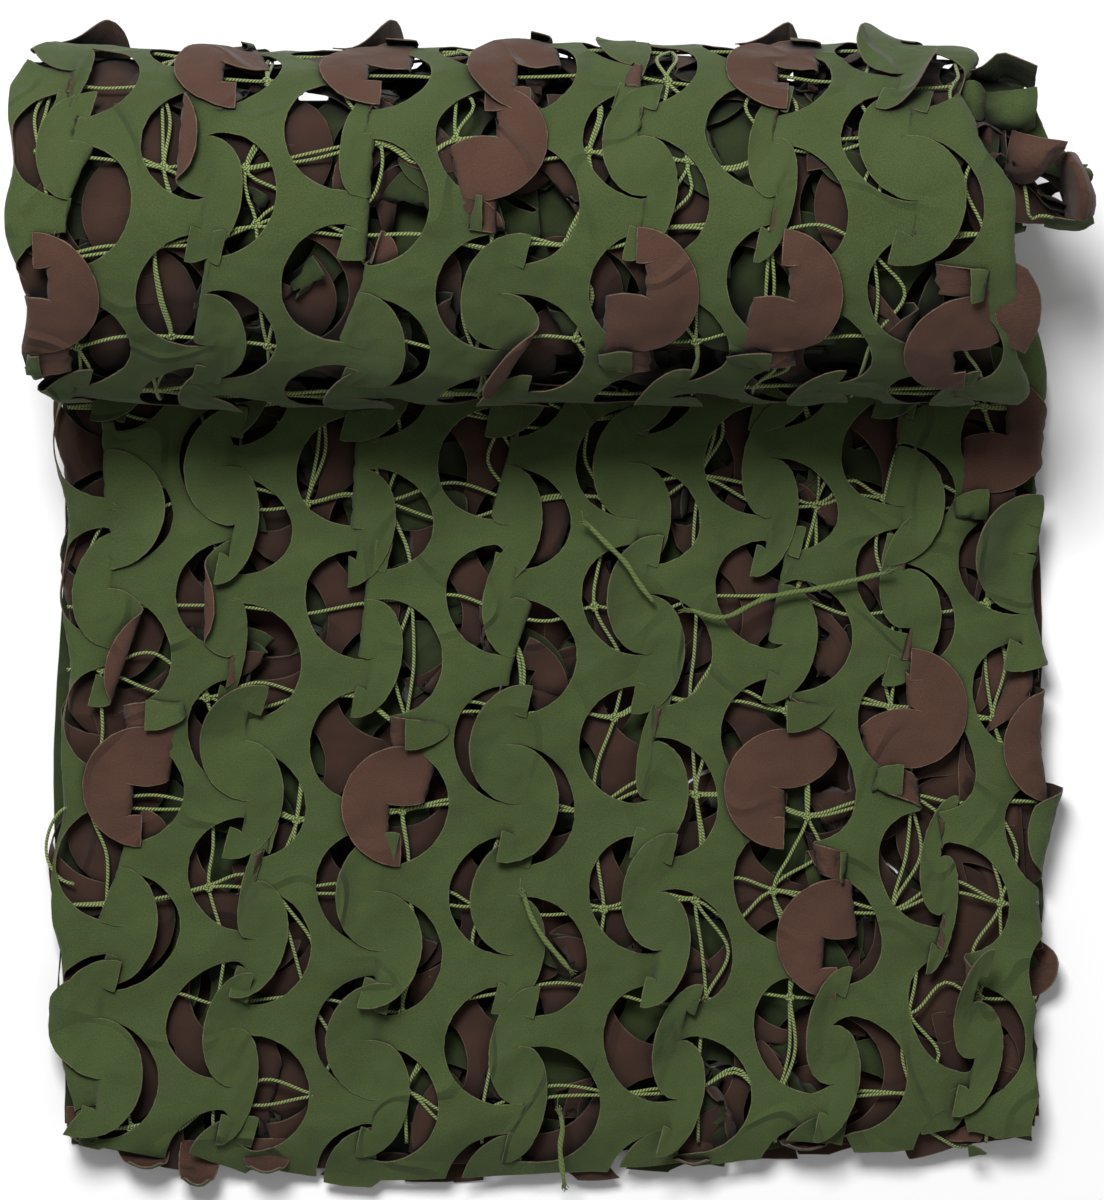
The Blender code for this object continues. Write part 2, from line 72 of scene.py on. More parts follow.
surface_mesh = bpy.data.meshes.new("surface")
corners = ((-1, -1), (1, -1), (1, 1), (-1, 1))
corners = [(x * SURFACE_HALF, y * SURFACE_HALF, 0.0) for x, y in corners]
surface_mesh.from_pydata(corners, [], [(0, 1, 2, 3)])
surface = bpy.data.objects.new("surface", surface_mesh)
scene.collection.objects.link(surface)


def new_paint(name, roughness):
    """A new material, its nodes and its shader."""
    made = bpy.data.materials.new(name)
    made.use_nodes = True
    shader = made.node_tree.nodes["Principled BSDF"]
    shader.inputs["Roughness"].default_value = roughness
    return made, made.node_tree, shader


surface_paint, _, surface_shader = new_paint("white surface", 0.9)
surface_shader.inputs["Base Color"].default_value = SURFACE_WHITE
surface_mesh.materials.append(surface_paint)

for name, place, size, power in LIGHTS:
    lamp = bpy.data.lights.new(name, "AREA")
    lamp.shape = "SQUARE"
    lamp.size = size
    lamp.energy = power
    light = bpy.data.objects.new(name, lamp)
    light.location = place
    light.rotation_euler = (-Vector(place)).to_track_quat("-Z", "Y").to_euler()
    scene.collection.objects.link(light)
sky = bpy.data.worlds.new("sky")
sky.use_nodes = True
sky.node_tree.nodes["Background"].inputs["Color"].default_value = (1.0, 1.0, 1.0, 1.0)
sky.node_tree.nodes["Background"].inputs["Strength"].default_value = SKY_STRENGTH
scene.world = sky

# ------------------------------------------------------------------ how the bundle lies
# The net is folded lengthwise into four layers. Its lowest layer goes on round the roll. These
# are the heights and edges that every piece of cloth and cord below lies on.

LAYER_RISE = 0.0085
LOWEST_HEIGHT = 0.0010
STRIP_END = -0.2550  # the cut end's corners
ROLL_AXIS = (0.1880, 0.0785)  # y and z
ROLL_HALF = (0.0865, 0.0800)  # half the roll's width and half its height
SWELLS = (
    # height of a slow swell of the strip, its length along x and along y, where it starts
    (0.0021, 0.27, 0.33, 0.7),
    (0.0013, 0.17, -0.21, 2.1),
)
ROLL_RIDGES = (
    # height of the roll's ridges, how many there are round it, how steeply they slant
    (0.0016, 3.0, 0.055),
    (0.0012, 5.0, -0.037),
)
STRIP_SIDES = (
    # y, left x, right x
    (-0.290, -0.231, 0.229),
    (-0.224, -0.240, 0.233),
    (-0.134, -0.247, 0.236),
    (-0.064, -0.240, 0.234),
    (0.016, -0.240, 0.232),
    (0.106, -0.244, 0.236),
    (0.196, -0.240, 0.228),
)


def smooth(value):
    """From 0 to 1 with a soft start and a soft stop."""
    value = np.clip(value, 0.0, 1.0)
    return value * value * (3.0 - 2.0 * value)


def eased(keys, values, at):
    """Values between table rows, with no corner at a row."""
    keys = np.asarray(keys, float)
    at = np.clip(at, keys[0], keys[-1])
    low = np.clip(np.searchsorted(keys, at) - 1, 0, len(keys) - 2)
    part = smooth((at - keys[low]) / (keys[low + 1] - keys[low]))
    values = np.asarray(values, float)
    return values[low] + (values[low + 1] - values[low]) * part


def read_off(table, column, at):
    """A table's column, at any value of its first column."""
    rows = list(zip(*table))
    return eased(rows[0], rows[column], at)


def stack_height(layer, x, y):
    """Height of the middle of a layer of the strip: 0 is the lowest and 3 the uppermost."""
    rise = 0.0
    for height, length_x, length_y, phase in SWELLS:
        rise = rise + height * np.sin(2.0 * np.pi * (x / length_x + y / length_y) + phase)
    return LOWEST_HEIGHT + LAYER_RISE * layer + rise * layer / 3.0


def round_roll(turn, lie):
    """The y and z of a place round the roll that lies this far out from its own outline."""
    y = ROLL_AXIS[0] + (ROLL_HALF[0] + lie) * np.cos(turn)
    return y, ROLL_AXIS[1] + (ROLL_HALF[1] + lie) * np.sin(turn)


# ------------------------------------------------------------------ loose cord ends
# Four ends of soft olive yarn that the net was tied off with. They lie on the strip's upper
# layer: two near its middle, one lower down, and one that hangs over the cut end.

YARN = 0.0025
UPPER_FACE = 0.0010
OVER_LEAVES = 0.0052
ON_CLOTH = 0.0006
HAIR = 0.00022  # radius of one loose fibre
LOBE_LAY = 0.0021  # how far along a cord its lobes take to wind on by one radian
CUT_BRUSH = (16, 0.0060, 7)  # fibres, their length, and the number their scatter starts from
FAR_BRUSH = (14, 0.0050, 9)
YARN_ENDS = (
    # name, height over the cloth, how it ends, route
    ("cord_end_a", OVER_LEAVES, "knot",
     ((0.0150, 0.0438), (0.0240, 0.0345), (0.0330, 0.0255), (0.0402, 0.0145),
      (0.0470, 0.0060))),
    ("cord_end_b", OVER_LEAVES, "bare",
     ((0.0650, 0.0020), (0.0820, -0.0015), (0.1030, 0.0080), (0.1320, 0.0135),
      (0.1620, 0.0205))),
    ("cord_end_c", OVER_LEAVES, "bare",
     ((-0.0170, -0.1385), (-0.0130, -0.1500), (-0.0070, -0.1600), (0.0005, -0.1690),
      (0.0055, -0.1750))),
    ("cord_end_d", ON_CLOTH, "bare",
     ((0.0010, -0.2460), (0.0022, -0.2540), (0.0010, -0.2630), (0.0018, -0.2720),
      (0.0030, -0.2810))),
)


def spacing(points):
    """How far along a row of points each of them is."""
    return np.concatenate(([0.0], np.cumsum(np.linalg.norm(np.diff(points, axis=0), axis=1))))


def through(route, step):
    """Points a step apart on a smooth curve through a route's own points."""
    route = np.asarray(route, float)
    ends = np.vstack((2 * route[0] - route[1], route, 2 * route[-1] - route[-2]))
    fine = []
    for a, b, c, d in zip(ends, ends[1:], ends[2:], ends[3:]):
        for t in np.arange(0.0, 1.0, 0.05):
            bend = (2 * a - 5 * b + 4 * c - d) * t**2 + (3 * b - a - 3 * c + d) * t**3
            fine.append((2 * b + (c - a) * t + bend) / 2.0)
    fine = np.array(fine + [route[-1]])
    along = spacing(fine)
    spaced = np.linspace(0.0, along[-1], max(4, int(along[-1] / step)))
    return np.stack([np.interp(spaced, along, fine[:, i]) for i in range(3)], axis=1)


def uv_of(form):
    return form.loops.layers.uv.get("UVMap") or form.loops.layers.uv.new("UVMap")


def skin(form, rows, uv_at, closed=False):
    """Faces between rows of points. uv_at gives the UV of a row's number and a place in it."""
    uv = uv_of(form)
    wide = len(rows[0])
    for r, (low, high) in enumerate(zip(rows, rows[1:])):
        for i in range(wide if closed else wide - 1):
            j = (i + 1) % wide
            face = form.faces.new((low[i], low[j], high[j], high[i]))
            face.smooth = True
            for loop, (a, b) in zip(face.loops, ((r, i), (r, i + 1), (r + 1, i + 1), (r + 1, i))):
                loop[uv].uv = uv_at(a, b)


def cord_tube(form, points, radius, sides=8, lobes=0.0, taper=0.0):
    """Adds a closed cord to a mesh. Its UV runs along the cord in metres and once round it."""
    points = np.asarray(points, float)
    heading = np.gradient(points, axis=0)
    heading /= np.linalg.norm(heading, axis=1)[:, None] + 1e-12
    along = spacing(points)
    up = np.array([0.0, 0.0, 1.0]) if abs(heading[0][2]) < 0.9 else np.array([1.0, 0.0, 0.0])
    rings = []
    for place, way, far in zip(points, heading, along):
        side = np.cross(up, way)
        side /= np.linalg.norm(side) + 1e-12
        up = np.cross(way, side)
        reach = radius * (1.0 - taper * max(0.0, 1.0 - min(far, along[-1] - far) / (4.0 * radius)))
        ring = []
        for i in range(sides):
            turn = 2.0 * math.pi * i / sides
            out = reach * (1.0 + lobes * math.cos(2.0 * turn - far / LOBE_LAY))
            ring.append(form.verts.new(place + out * (math.cos(turn) * side + math.sin(turn) * up)))
        rings.append(ring)
    skin(form, rings, lambda a, b: (along[a], b / sides), closed=True)
    form.faces.new(reversed(rings[0]))
    form.faces.new(rings[-1])


def finished(name, form, *materials):
    """Turns what was gathered into a piece that lies still with the rest."""
    mesh = bpy.data.meshes.new(name)
    form.to_mesh(mesh)
    form.free()
    made = bpy.data.objects.new(name, mesh)
    scene.collection.objects.link(made)
    for material in materials:
        mesh.materials.append(material)
    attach(made, "root")
    return made


def wired(tree, kind, inputs, which=0, **settings):
    """Adds a shader node. Each input is a plain value or another node's output."""
    made = tree.nodes.new("ShaderNode" + kind)
    for setting, value in settings.items():
        setattr(made, setting, value)
    for socket, value in inputs.items():
        if isinstance(value, bpy.types.NodeSocket):
            tree.links.new(value, made.inputs[socket])
        else:
            made.inputs[socket].default_value = value
    return made.outputs[which]


def worked_out(tree, operation, *values):
    """A sum, a product or a wave of numbers and other nodes' outputs."""
    return wired(tree, "Math", dict(enumerate(values)), operation=operation)


def between(tree, value, low, high):
    """How far a value has come from low to high, as 0 to 1."""
    return wired(tree, "MapRange", {"From Min": low, "From Max": high, "Value": value}, "Result")


def blend(tree, share, first, second):
    mix = {"Factor": share, "A": first, "B": second}
    return wired(tree, "Mix", mix, "Result", data_type="RGBA")


def raised(tree, height, strength, distance, **under):
    """A surface's bump from a height, on top of the bump under it if one is given."""
    bump = {"Strength": strength, "Distance": distance, "Height": height}
    return wired(tree, "Bump", {**bump, **under})


def yarn_finish(name, light, groove_shade, strand, plies):
    """Plied cord: light strands, with painted shade in the grooves between them, that wind round
    the cord.
    """
    made, tree, shader = new_paint(name, 0.85)
    shader.inputs["Sheen Weight"].default_value = 0.15
    place = wired(tree, "UVMap", {}, uv_map="UVMap")
    split = wired(tree, "SeparateXYZ", {0: place}).node.outputs
    along = worked_out(tree, "MULTIPLY", split["X"], 1.0 / strand)
    turns = worked_out(tree, "MULTIPLY_ADD", split["Y"], float(plies), along)
    wave = worked_out(tree, "SINE", worked_out(tree, "MULTIPLY", turns, 2.0 * math.pi))
    band = between(tree, wave, -1.0, 0.35)
    tree.links.new(blend(tree, band, groove_shade, light), shader.inputs["Base Color"])
    tree.links.new(raised(tree, band, 0.6, 0.0004), shader.inputs["Normal"])
    return made


# The strands' colour, and the painted shade in the grooves between them.
YARN_GREEN = ((0.105, 0.150, 0.030, 1.0), (0.060, 0.090, 0.018, 1.0))
olive_yarn = yarn_finish("olive yarn", *YARN_GREEN, 0.0024, 3)


def frayed_end(form, place, way, count, length, seed):
    """A brush of loose fibres where a yarn was cut."""
    dice = np.random.default_rng(seed)
    way = np.asarray(way, float) / np.linalg.norm(way)
    for _ in range(count):
        lean = way + dice.normal(0.0, 0.35, 3) * (1.0, 1.0, 0.4)
        reach = length * dice.uniform(0.5, 1.0)
        bend = dice.normal(0.0, 0.25, 3) * reach * (1.0, 1.0, 0.3)
        start = np.asarray(place) + dice.normal(0.0, 0.0005, 3) - way * 0.0010
        hair = [start, start + lean * reach * 0.5, start + lean * reach + bend]
        cord_tube(form, through(hair, 0.0012), HAIR, sides=4)


for name, over, ending, flat_route in YARN_ENDS:
    lift = UPPER_FACE + over + YARN / 2.0
    route = [(x, y, float(stack_height(3, x, y)) + lift) for x, y in flat_route]
    points = through(route, 0.0016)
    form = bmesh.new()
    cord_tube(form, points, YARN / 2.0, lobes=0.10, taper=0.35)
    yarn = finished(name + "_yarn", form, olive_yarn)
    form = bmesh.new()
    frayed_end(form, points[0], points[0] - points[2], *CUT_BRUSH)
    if ending == "bare":
        frayed_end(form, points[-1], points[-1] - points[-3], *FAR_BRUSH)
    fray = finished(name + "_fray", form, olive_yarn)
    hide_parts(name)

# ------------------------------------------------------------------ garnish cloth: the cutting
# A thin coated cotton cloth, green on its face and brown on its back. A press cuts columns of
# S-shaped slits in it, so that pulling it wider turns every S into a leaf that hangs in a hole.

LEAF = 0.0295  # radius of a leaf's two round halves
LEAF_PERIOD = 0.0735  # from one leaf to the next down a column
LEAF_DROP = 0.0300  # a leaf's right half sits this much lower than its left half
CUT_PITCH = 0.0610  # from column to column as it was cut
LAID_PITCH = 0.0690  # and as it lies, drawn wider
ROOT = 0.3 * LEAF  # how far the cuts go in beside each neck
CLOTH = 0.0006
LEFT_ROUND = (72.5, 90.0, 270.0, 287.5)  # degrees at which a slit's round starts, turns and stops
RIGHT_ROUND = (-107.5, -90.0, 90.0, 107.5)
LONGEST_CUT = 0.0042  # longest straight piece of a slit

WEB, FREE, NECK_RIGHT, NECK_LEFT = range(4)


def arc(x, y, turns, step):
    """Points on a slit's round, through each of the given angles."""
    angles = []
    for start, stop in zip(turns, turns[1:]):
        count = max(2, int(math.radians(abs(stop - start)) * LEAF / step))
        angles += [start + (stop - start) * i / count for i in range(count)]
    angles = [math.radians(turn) for turn in (*angles, turns[-1])]
    return [(x + LEAF * math.cos(turn), y + LEAF * math.sin(turn)) for turn in angles]


def slits(columns, rows, step):
    """The press's cuts: two rounds for each leaf, and the short straight cut between two leaves."""
    paths = []
    for x in (column * CUT_PITCH for column in range(columns)):
        for row in rows:
            left = row * LEAF_PERIOD
            right = left - LEAF_DROP
            paths.append(arc(x, left, LEFT_ROUND, step))
            paths.append(arc(x, right, RIGHT_ROUND, step))
            foot = right + LEAF_PERIOD - LEAF
            count = max(2, int((left + LEAF - foot) / step))
            paths.append([(x, foot + (left + LEAF - foot) * i / count) for i in range(count + 1)])
    return paths


def cut_cloth(columns, rows, low, high, grain, first=-0.5, last=None):
    """A flat length of cloth with its slits cut, as a mesh whose points can then be laid."""
    dice = np.random.default_rng(columns * 100 + len(rows))
    left = first * CUT_PITCH
    right = (columns - 0.5 if last is None else last) * CUT_PITCH
    points, places, cuts = [], {}, []

    def add(x, y):
        key = (round(x * 2e6), round(y * 2e6))
        if key not in places:
            places[key] = len(points)
            points.append(Vector((x, y)))
        return places[key]

    step = min(grain * 0.75, LONGEST_CUT)
    for path in slits(columns, rows, step):
        if any(left < x < right and low(x) - 0.01 < y < high + 0.01 for x, y in path):
            chain = [add(x, y) for x, y in path]
            cuts += [(a, b) for a, b in zip(chain, chain[1:]) if a != b]
    near = KDTree(len(points))
    for i, point in enumerate(points):
        near.insert((point.x, point.y, 0.0), i)
    near.balance()
    across = max(2, int((right - left) / grain))
    span = [left + (right - left) * i / across for i in range(across + 1)]

    def side(x):
        """Points up one side, between its two corners."""
        tall = high - low(x)
        count = max(2, int(tall / grain))
        return [(x, low(x) + tall * i / count) for i in range(1, count)]

    outline = [add(x, low(x)) for x in span] + [add(*at) for at in side(right)]
    outline += [add(x, high) for x in reversed(span)] + [add(*at) for at in reversed(side(left))]
    y, odd = low(left) - 0.04, 0
    while y < high - grain * 0.5:
        x = left + grain * (0.5 if odd else 1.0)
        while x < right - grain * 0.4:
            at = (x + dice.uniform(-0.15, 0.15) * grain, y + dice.uniform(-0.15, 0.15) * grain)
            inside = at[1] > low(at[0]) + grain * 0.5
            if inside and near.find((at[0], at[1], 0.0))[2] > grain * 0.55:
                add(*at)
            x += grain
        y += grain * 0.866
        odd = not odd
    meshed = delaunay_2d_cdt(points, cuts, [outline], 1, 1e-7, True)
    flat, edges, faces, _, edge_from, face_from = meshed
    cut = [any(m < len(cuts) for m in made_by) for made_by in edge_from]
    slit = {frozenset(edge) for edge, is_cut in zip(edges, cut) if is_cut}
    form = bmesh.new()
    corners = [form.verts.new((p.x, p.y, 0.0)) for p in flat]
    for face, made_by in zip(faces, face_from):
        if made_by:
            form.faces.new([corners[i] for i in face])
    form.verts.index_update()
    form.edges.ensure_lookup_table()
    opened = [e for e in form.edges if len(e.link_faces) == 2]
    opened = [e for e in opened if frozenset(v.index for v in e.verts) in slit]
    loose = [v for v in form.verts if not v.link_faces]
    bmesh.ops.split_edges(form, edges=opened)
    bmesh.ops.delete(form, geom=loose, context="VERTS")
    form.verts.index_update()
    form.faces.ensure_lookup_table()
    return form


def leaf_parts(x, y, columns):
    """Which leaf, neck or web holds each flat point: (kind, column, row)."""
    column = np.clip(np.round(x / CUT_PITCH).astype(int), 0, columns - 1)
    over = x - column * CUT_PITCH
    row_left = np.round(y / LEAF_PERIOD).astype(int)
    row_right = np.round((y + LEAF_DROP) / LEAF_PERIOD).astype(int)
    up_left = y - row_left * LEAF_PERIOD
    up_right = y + LEAF_DROP - row_right * LEAF_PERIOD
    in_left = np.hypot(over, up_left) < LEAF
    in_right = np.hypot(over, up_right) < LEAF
    kind = np.full(len(x), WEB)
    row = np.where(over < 0, row_left, row_right)
    leaf = ((over < 0) & in_left) | ((over >= 0) & in_right)
    kind[leaf] = FREE
    # A neck lies between the rounds on the far side of the column's middle.
    most = LEAF_PERIOD - LEAF_DROP - LEAF + 0.002
    beside_left = (over < 0) & in_left & (over > -ROOT) & ~in_right
    beside_right = (over >= 0) & in_right & (over < ROOT) & ~in_left
    kind[beside_left & (up_left > -0.002) & (up_left < most)] = NECK_RIGHT
    kind[beside_right & (up_right < 0.002) & (up_right > -most)] = NECK_LEFT
    near_right = (over >= 0) & ~in_right & (over < ROOT / 3.0)
    near_left = (over < 0) & ~in_left & (over > -ROOT / 3.0)
    kind[near_right], row[near_right] = NECK_RIGHT, row_left[near_right]
    kind[near_left], row[near_left] = NECK_LEFT, row_right[near_left]
    return kind, column, row


# ------------------------------------------------------------------ garnish cloth: how leaves lie
# Each leaf stays held by two short necks. Most lie as an S in their hole, some have folded
# over or under, and some have turned right over, so that their brown back shows.

SPIN = 13.0  # degrees that a plain leaf is turned when the cloth is drawn wider
BEND = 0.0021  # radius of a leaf that is folded sharply
SOFT_BEND = 0.020  # and of one that only sags, times its angle
CREASES = (9.0, 15.0, 21.0, -6.0)  # degrees that a curled leaf's creases are folded
NARROWEST = 0.30  # share of its width that a plain leaf keeps at least
LEAF_WAVE = 0.0008
HIDDEN_GROWTH = 1.035  # hidden leaves fill their holes, so that no light comes up through them
FORMS = {
    # name: turned over, left fold, left hinge, right fold, right hinge, spin, rise, and further
    # folds (way, how far out, fold), in degrees and metres
    "plain": (0.0, 15.0, 0.006, 18.0, 0.006, SPIN, 0.0008, ()),
    "curled": (0.0, 15.0, 0.006, 18.0, 0.006, SPIN, 0.0008, ()),
    "tucked_left": (0.0, -172.0, 0.0030, 18.0, 0.006, SPIN, 0.0008, ()),
    "tucked_right": (0.0, 16.0, 0.006, -172.0, 0.0030, SPIN, 0.0008, ()),
    "folded_left": (0.0, 168.0, 0.0110, 14.0, 0.006, SPIN, 0.0006, ()),
    "folded_right": (0.0, 14.0, 0.006, 168.0, 0.0110, SPIN, 0.0006, ()),
    "over_left": (172.0, 165.0, 0.0120, 14.0, 0.006, 2.0, 0.0012, ((90.0, 0.0265, -172.0),)),
    "over_right": (-172.0, 14.0, 0.006, 165.0, 0.0120, 2.0, 0.0012, ((270.0, 0.0265, -172.0),)),
    "standing": (0.0, 70.0, 0.004, 60.0, 0.006, 20.0, 0.0016, ()),
    "shut": (0.0, 3.0, 0.006, 3.0, 0.006, 0.0, 0.0002, ()),
    "hidden": (0.0, 0.0, 0.006, 0.0, 0.006, 0.0, 0.0002, ()),
}


def folded(x, z, out, side, fold, bend):
    """Folds what lies past a hinge up (or down, if fold is negative), round a small radius."""
    swing = np.clip(out / bend, 0.0, abs(fold))
    straight = np.maximum(out - bend * abs(fold), 0.0)
    moved = bend * np.sin(swing) + straight * math.cos(fold)
    raised = bend * (1.0 - np.cos(swing)) + straight * math.sin(abs(fold))
    past = out > 0
    x = np.where(past, x + side * (moved - out), x)
    return x, z + np.where(past, raised * math.copysign(1.0, fold), 0.0)


def lay_leaves(flat_x, flat_y, kind, column, row, table, webs):
    """Laid place (across, along, height over the cloth) of every point of a piece of cloth."""
    across, along = webs(flat_x, flat_y, np.where(flat_x > column * CUT_PITCH, column + 1, column))
    height = np.zeros(len(flat_x))
    held = kind != WEB
    for c, r in sorted(set(zip(column[held].tolist(), row[held].tolist()))):
        mine = held & (column == c) & (row == r)
        form, gap_left, gap_right, *ears = table(c, r)
        turn, fold_l, hinge_l, fold_r, hinge_r, spin, rise, own_ears = FORMS[form]
        dice = np.random.default_rng(abs(c * 977 + r * 131) + 5)
        spin += dice.uniform(-3.0, 3.0) if form not in ("shut", "hidden") else 0.0
        middle = (c * CUT_PITCH, r * LEAF_PERIOD - LEAF_DROP / 2.0)
        at = [np.array([m]) for m in middle]
        sides = [webs(*at, np.array([web])) for web in (c, c + 1)]
        (left_x, left_y), (right_x, right_y) = [(x[0], y[0]) for x, y in sides]
        x = flat_x[mine] - middle[0]
        y = flat_y[mine] - middle[1]
        z = np.zeros(len(x))
        if form == "hidden":
            x, y = x * HIDDEN_GROWTH, y * HIDDEN_GROWTH
        if turn:
            hinge_l, hinge_r = (gap_right, hinge_r) if turn > 0 else (hinge_l, gap_right)
        else:
            room = LEAF + (right_x - left_x) / 2.0 + 0.5 * LEAF * math.sin(math.radians(spin))
            narrow = [np.clip((room - gap) / LEAF, NARROWEST, 1.0) for gap in (gap_left, gap_right)]
            x = x * np.where(x < 0, *narrow)
        for side, fold, hinge in ((-1.0, fold_l, hinge_l), (1.0, fold_r, hinge_r)):
            fold = math.radians(fold + dice.uniform(-4.0, 4.0))
            sharp = abs(fold) > 1.5
            slant = dice.uniform(-0.25, 0.25)
            out = side * x - hinge - slant * y * (1.0 if sharp else 0.3)
            bend = BEND if sharp else SOFT_BEND / max(abs(fold), 0.05)
            x, z = folded(x, z, out, side, fold, bend)
        creases = []
        while form == "curled" and len(creases) < 3:
            way, far = dice.uniform(0.0, 360.0), dice.uniform(0.002, 0.016)
            creases.append((way, far, dice.choice(CREASES)))
        for way, far, fold in (*own_ears, *ears, *creases):
            way = math.radians(way)
            along_way = x * math.cos(way) + y * math.sin(way)
            across_way = y * math.cos(way) - x * math.sin(way)
            bend = BEND * (0.7 if abs(fold) > 90.0 else 2.0)
            along_way, z = folded(along_way, z, along_way - far, 1.0, math.radians(fold), bend)
            x = along_way * math.cos(way) - across_way * math.sin(way)
            y = along_way * math.sin(way) + across_way * math.cos(way)
        wave = np.sin(x / 0.009 + dice.uniform(0, 6)) * np.sin(y / 0.013 + dice.uniform(0, 6))
        z = z + LEAF_WAVE * wave
        swing = math.radians(turn + (dice.uniform(-2.0, 2.0) if turn else dice.uniform(-3.5, 3.5)))
        x, z = x * math.cos(swing) - z * math.sin(swing), x * math.sin(swing) + z * math.cos(swing)
        swing = math.radians(spin)
        x, y = x * math.cos(swing) + y * math.sin(swing), y * math.cos(swing) - x * math.sin(swing)
        aside = gap_left if turn else 0.5 * (gap_left - gap_right) * 0.35
        x = x + (left_x + right_x) / 2.0 + aside
        y = y + (left_y + right_y) / 2.0
        over = flat_x[mine] - middle[0]
        part = np.where(kind[mine] == NECK_RIGHT, (over + ROOT) / (ROOT * 4.0 / 3.0), 0.0)
        part = np.where(kind[mine] == NECK_LEFT, (ROOT - over) / (ROOT * 4.0 / 3.0), part)
        part = smooth(part)
        web = np.where(kind[mine] == NECK_RIGHT, c + 1, c)
        web_x, web_y = webs(flat_x[mine], flat_y[mine], web)
        across[mine] = x + (web_x - x) * part
        along[mine] = y + (web_y - y) * part
        height[mine] = (z + rise) * (1.0 - part)
    return across, along, height


WEAVE = 0.0011  # from thread to thread
PAINTED_DEEP_SHADE = (0.0035, 0.0030, 0.0025, 1.0)  # painted shade: nearly black, mixed into the cloth's colour where it lies hemmed in by other cloth
PAINTED_SHADE_REACH = 0.0180


def cloth_finish(name, colour, speckle):
    """Matt coated cloth: a fine weave, uneven dye, painted shade in its hollows, soft rucks and
    sharp old creases.
    """
    made, tree, shader = new_paint(name, 0.88)
    shader.inputs["Specular IOR Level"].default_value = 0.12
    shader.inputs["Sheen Weight"].default_value = 0.08
    place = wired(tree, "UVMap", {}, uv_map="UVMap")

    def noise(scale, detail):
        return wired(tree, "TexNoise", {"Scale": scale, "Detail": detail, "Vector": place}, "Fac")

    def tone(share):
        return tuple(c * share for c in colour[:3]) + (1.0,)

    dye = blend(tree, between(tree, noise(22.0, 3.0), 0.35, 0.65), tone(0.80), tone(1.18))
    fine = blend(tree, between(tree, noise(1400.0, 2.0), 0.30, 0.70), tone(0.72), speckle)
    woven = blend(tree, 0.58, dye, fine)
    # Painted shade: the colour goes towards nearly black where ambient occlusion finds other cloth
    # within reach.
    hollow_shade = wired(tree, "AmbientOcclusion", {"Distance": PAINTED_SHADE_REACH}, "AO", samples=4)
    shown = blend(tree, between(tree, hollow_shade, 0.32, 0.88), PAINTED_DEEP_SHADE, woven)
    tree.links.new(shown, shader.inputs["Base Color"])

    split = wired(tree, "SeparateXYZ", {0: place}).node.outputs
    waves = []
    for axis in ("X", "Y"):
        scaled = worked_out(tree, "MULTIPLY", split[axis], 2.0 * math.pi / WEAVE)
        waves.append(worked_out(tree, "SINE", scaled))
    weave = worked_out(tree, "MULTIPLY", *waves)
    relief = worked_out(tree, "MULTIPLY_ADD", weave, 0.10, noise(160.0, 4.0))
    bump = raised(tree, relief, 0.55, 0.0011)
    ridge = worked_out(tree, "PINGPONG", worked_out(tree, "ADD", noise(13.0, 1.0), 0.5), 0.5)
    patches = between(tree, noise(9.0, 0.0), 0.40, 0.56)
    sharp = worked_out(tree, "MULTIPLY", between(tree, ridge, 0.030, 0.0), patches)
    crease = raised(tree, sharp, 0.9, 0.0020, Normal=bump)
    rucks = raised(tree, noise(26.0, 2.0), 0.75, 0.0100, Normal=crease)
    tree.links.new(rucks, shader.inputs["Normal"])
    return made


SHADED = 0.62  # painted shade: the inner layers' colours are darkened to this share, for the shade under the upper layer
GREEN = (0.0455, 0.0665, 0.0208)
BROWN = (0.068, 0.0345, 0.0240)
COLOURS = (
    # name, colour, colour of the lighter threads
    ("green face", GREEN, (0.075, 0.105, 0.038)),
    ("brown back", BROWN, (0.095, 0.050, 0.034)),
    ("cut threads, green side", (0.075, 0.093, 0.038), (0.17, 0.17, 0.09)),
    ("cut threads, brown side", (0.120, 0.076, 0.050), (0.23, 0.16, 0.11)),
    ("green face, inner, painted shade", [c * SHADED for c in GREEN], (0.036, 0.052, 0.019)),
    ("brown back, inner, painted shade", [c * SHADED * 1.15 for c in BROWN], (0.050, 0.027, 0.019)),
    ("cut threads, inner green, painted shade", (0.050, 0.060, 0.027), (0.10, 0.11, 0.06)),
    ("cut threads, inner brown, painted shade", (0.080, 0.054, 0.037), (0.14, 0.10, 0.07)),
)
paints = [cloth_finish(name, colour, (*speckle, 1.0)) for name, colour, speckle in COLOURS]
# The inner finishes are darker copies of the outer ones: painted shade for cloth that lies under
# other cloth.
FINISHES = {"outer": paints[:4], "inner": paints[4:]}
FRAY = 0.00045


def fray_edges(form, seed):
    """A hem of cut threads, uneven and under half a millimetre wide, along every cut."""
    dice = np.random.default_rng(seed)
    form.normal_update()
    uv = uv_of(form)
    borders = [edge.link_loops[0] for edge in form.edges if edge.is_boundary]
    out_of = {}
    for loop in borders:
        way = (loop.link_loop_next.vert.co - loop.vert.co).normalized()
        for v in loop.edge.verts:
            out_of[v] = out_of.get(v, Vector()) + way.cross(loop.face.normal)
    outer = {}
    for v, out in out_of.items():
        if out.length > 1e-6:
            outer[v] = form.verts.new(v.co + out.normalized() * FRAY * dice.uniform(0.35, 1.25))
    for loop in borders:
        start, stop = loop.vert, loop.link_loop_next.vert
        if start in outer and stop in outer:
            hem = form.faces.new((stop, start, outer[start], outer[stop]))
            hem.material_index = 2
            hem.smooth = True
            at, to = loop[uv].uv.copy(), loop.link_loop_next[uv].uv.copy()
            for corner, place in zip(hem.loops, (to, at, at, to)):
                corner[uv].uv = place


def finished_cloth(name, form, which="outer", offset=-1.0):
    """Green on its face, brown on its back, with frayed cuts."""
    fray_edges(form, len(form.verts))
    made = finished(name, form, *FINISHES[which])
    thick = made.modifiers.new("thickness", "SOLIDIFY")
    thick.thickness = CLOTH
    thick.offset = offset
    thick.material_offset = 1
    thick.material_offset_rim = 3
    return made


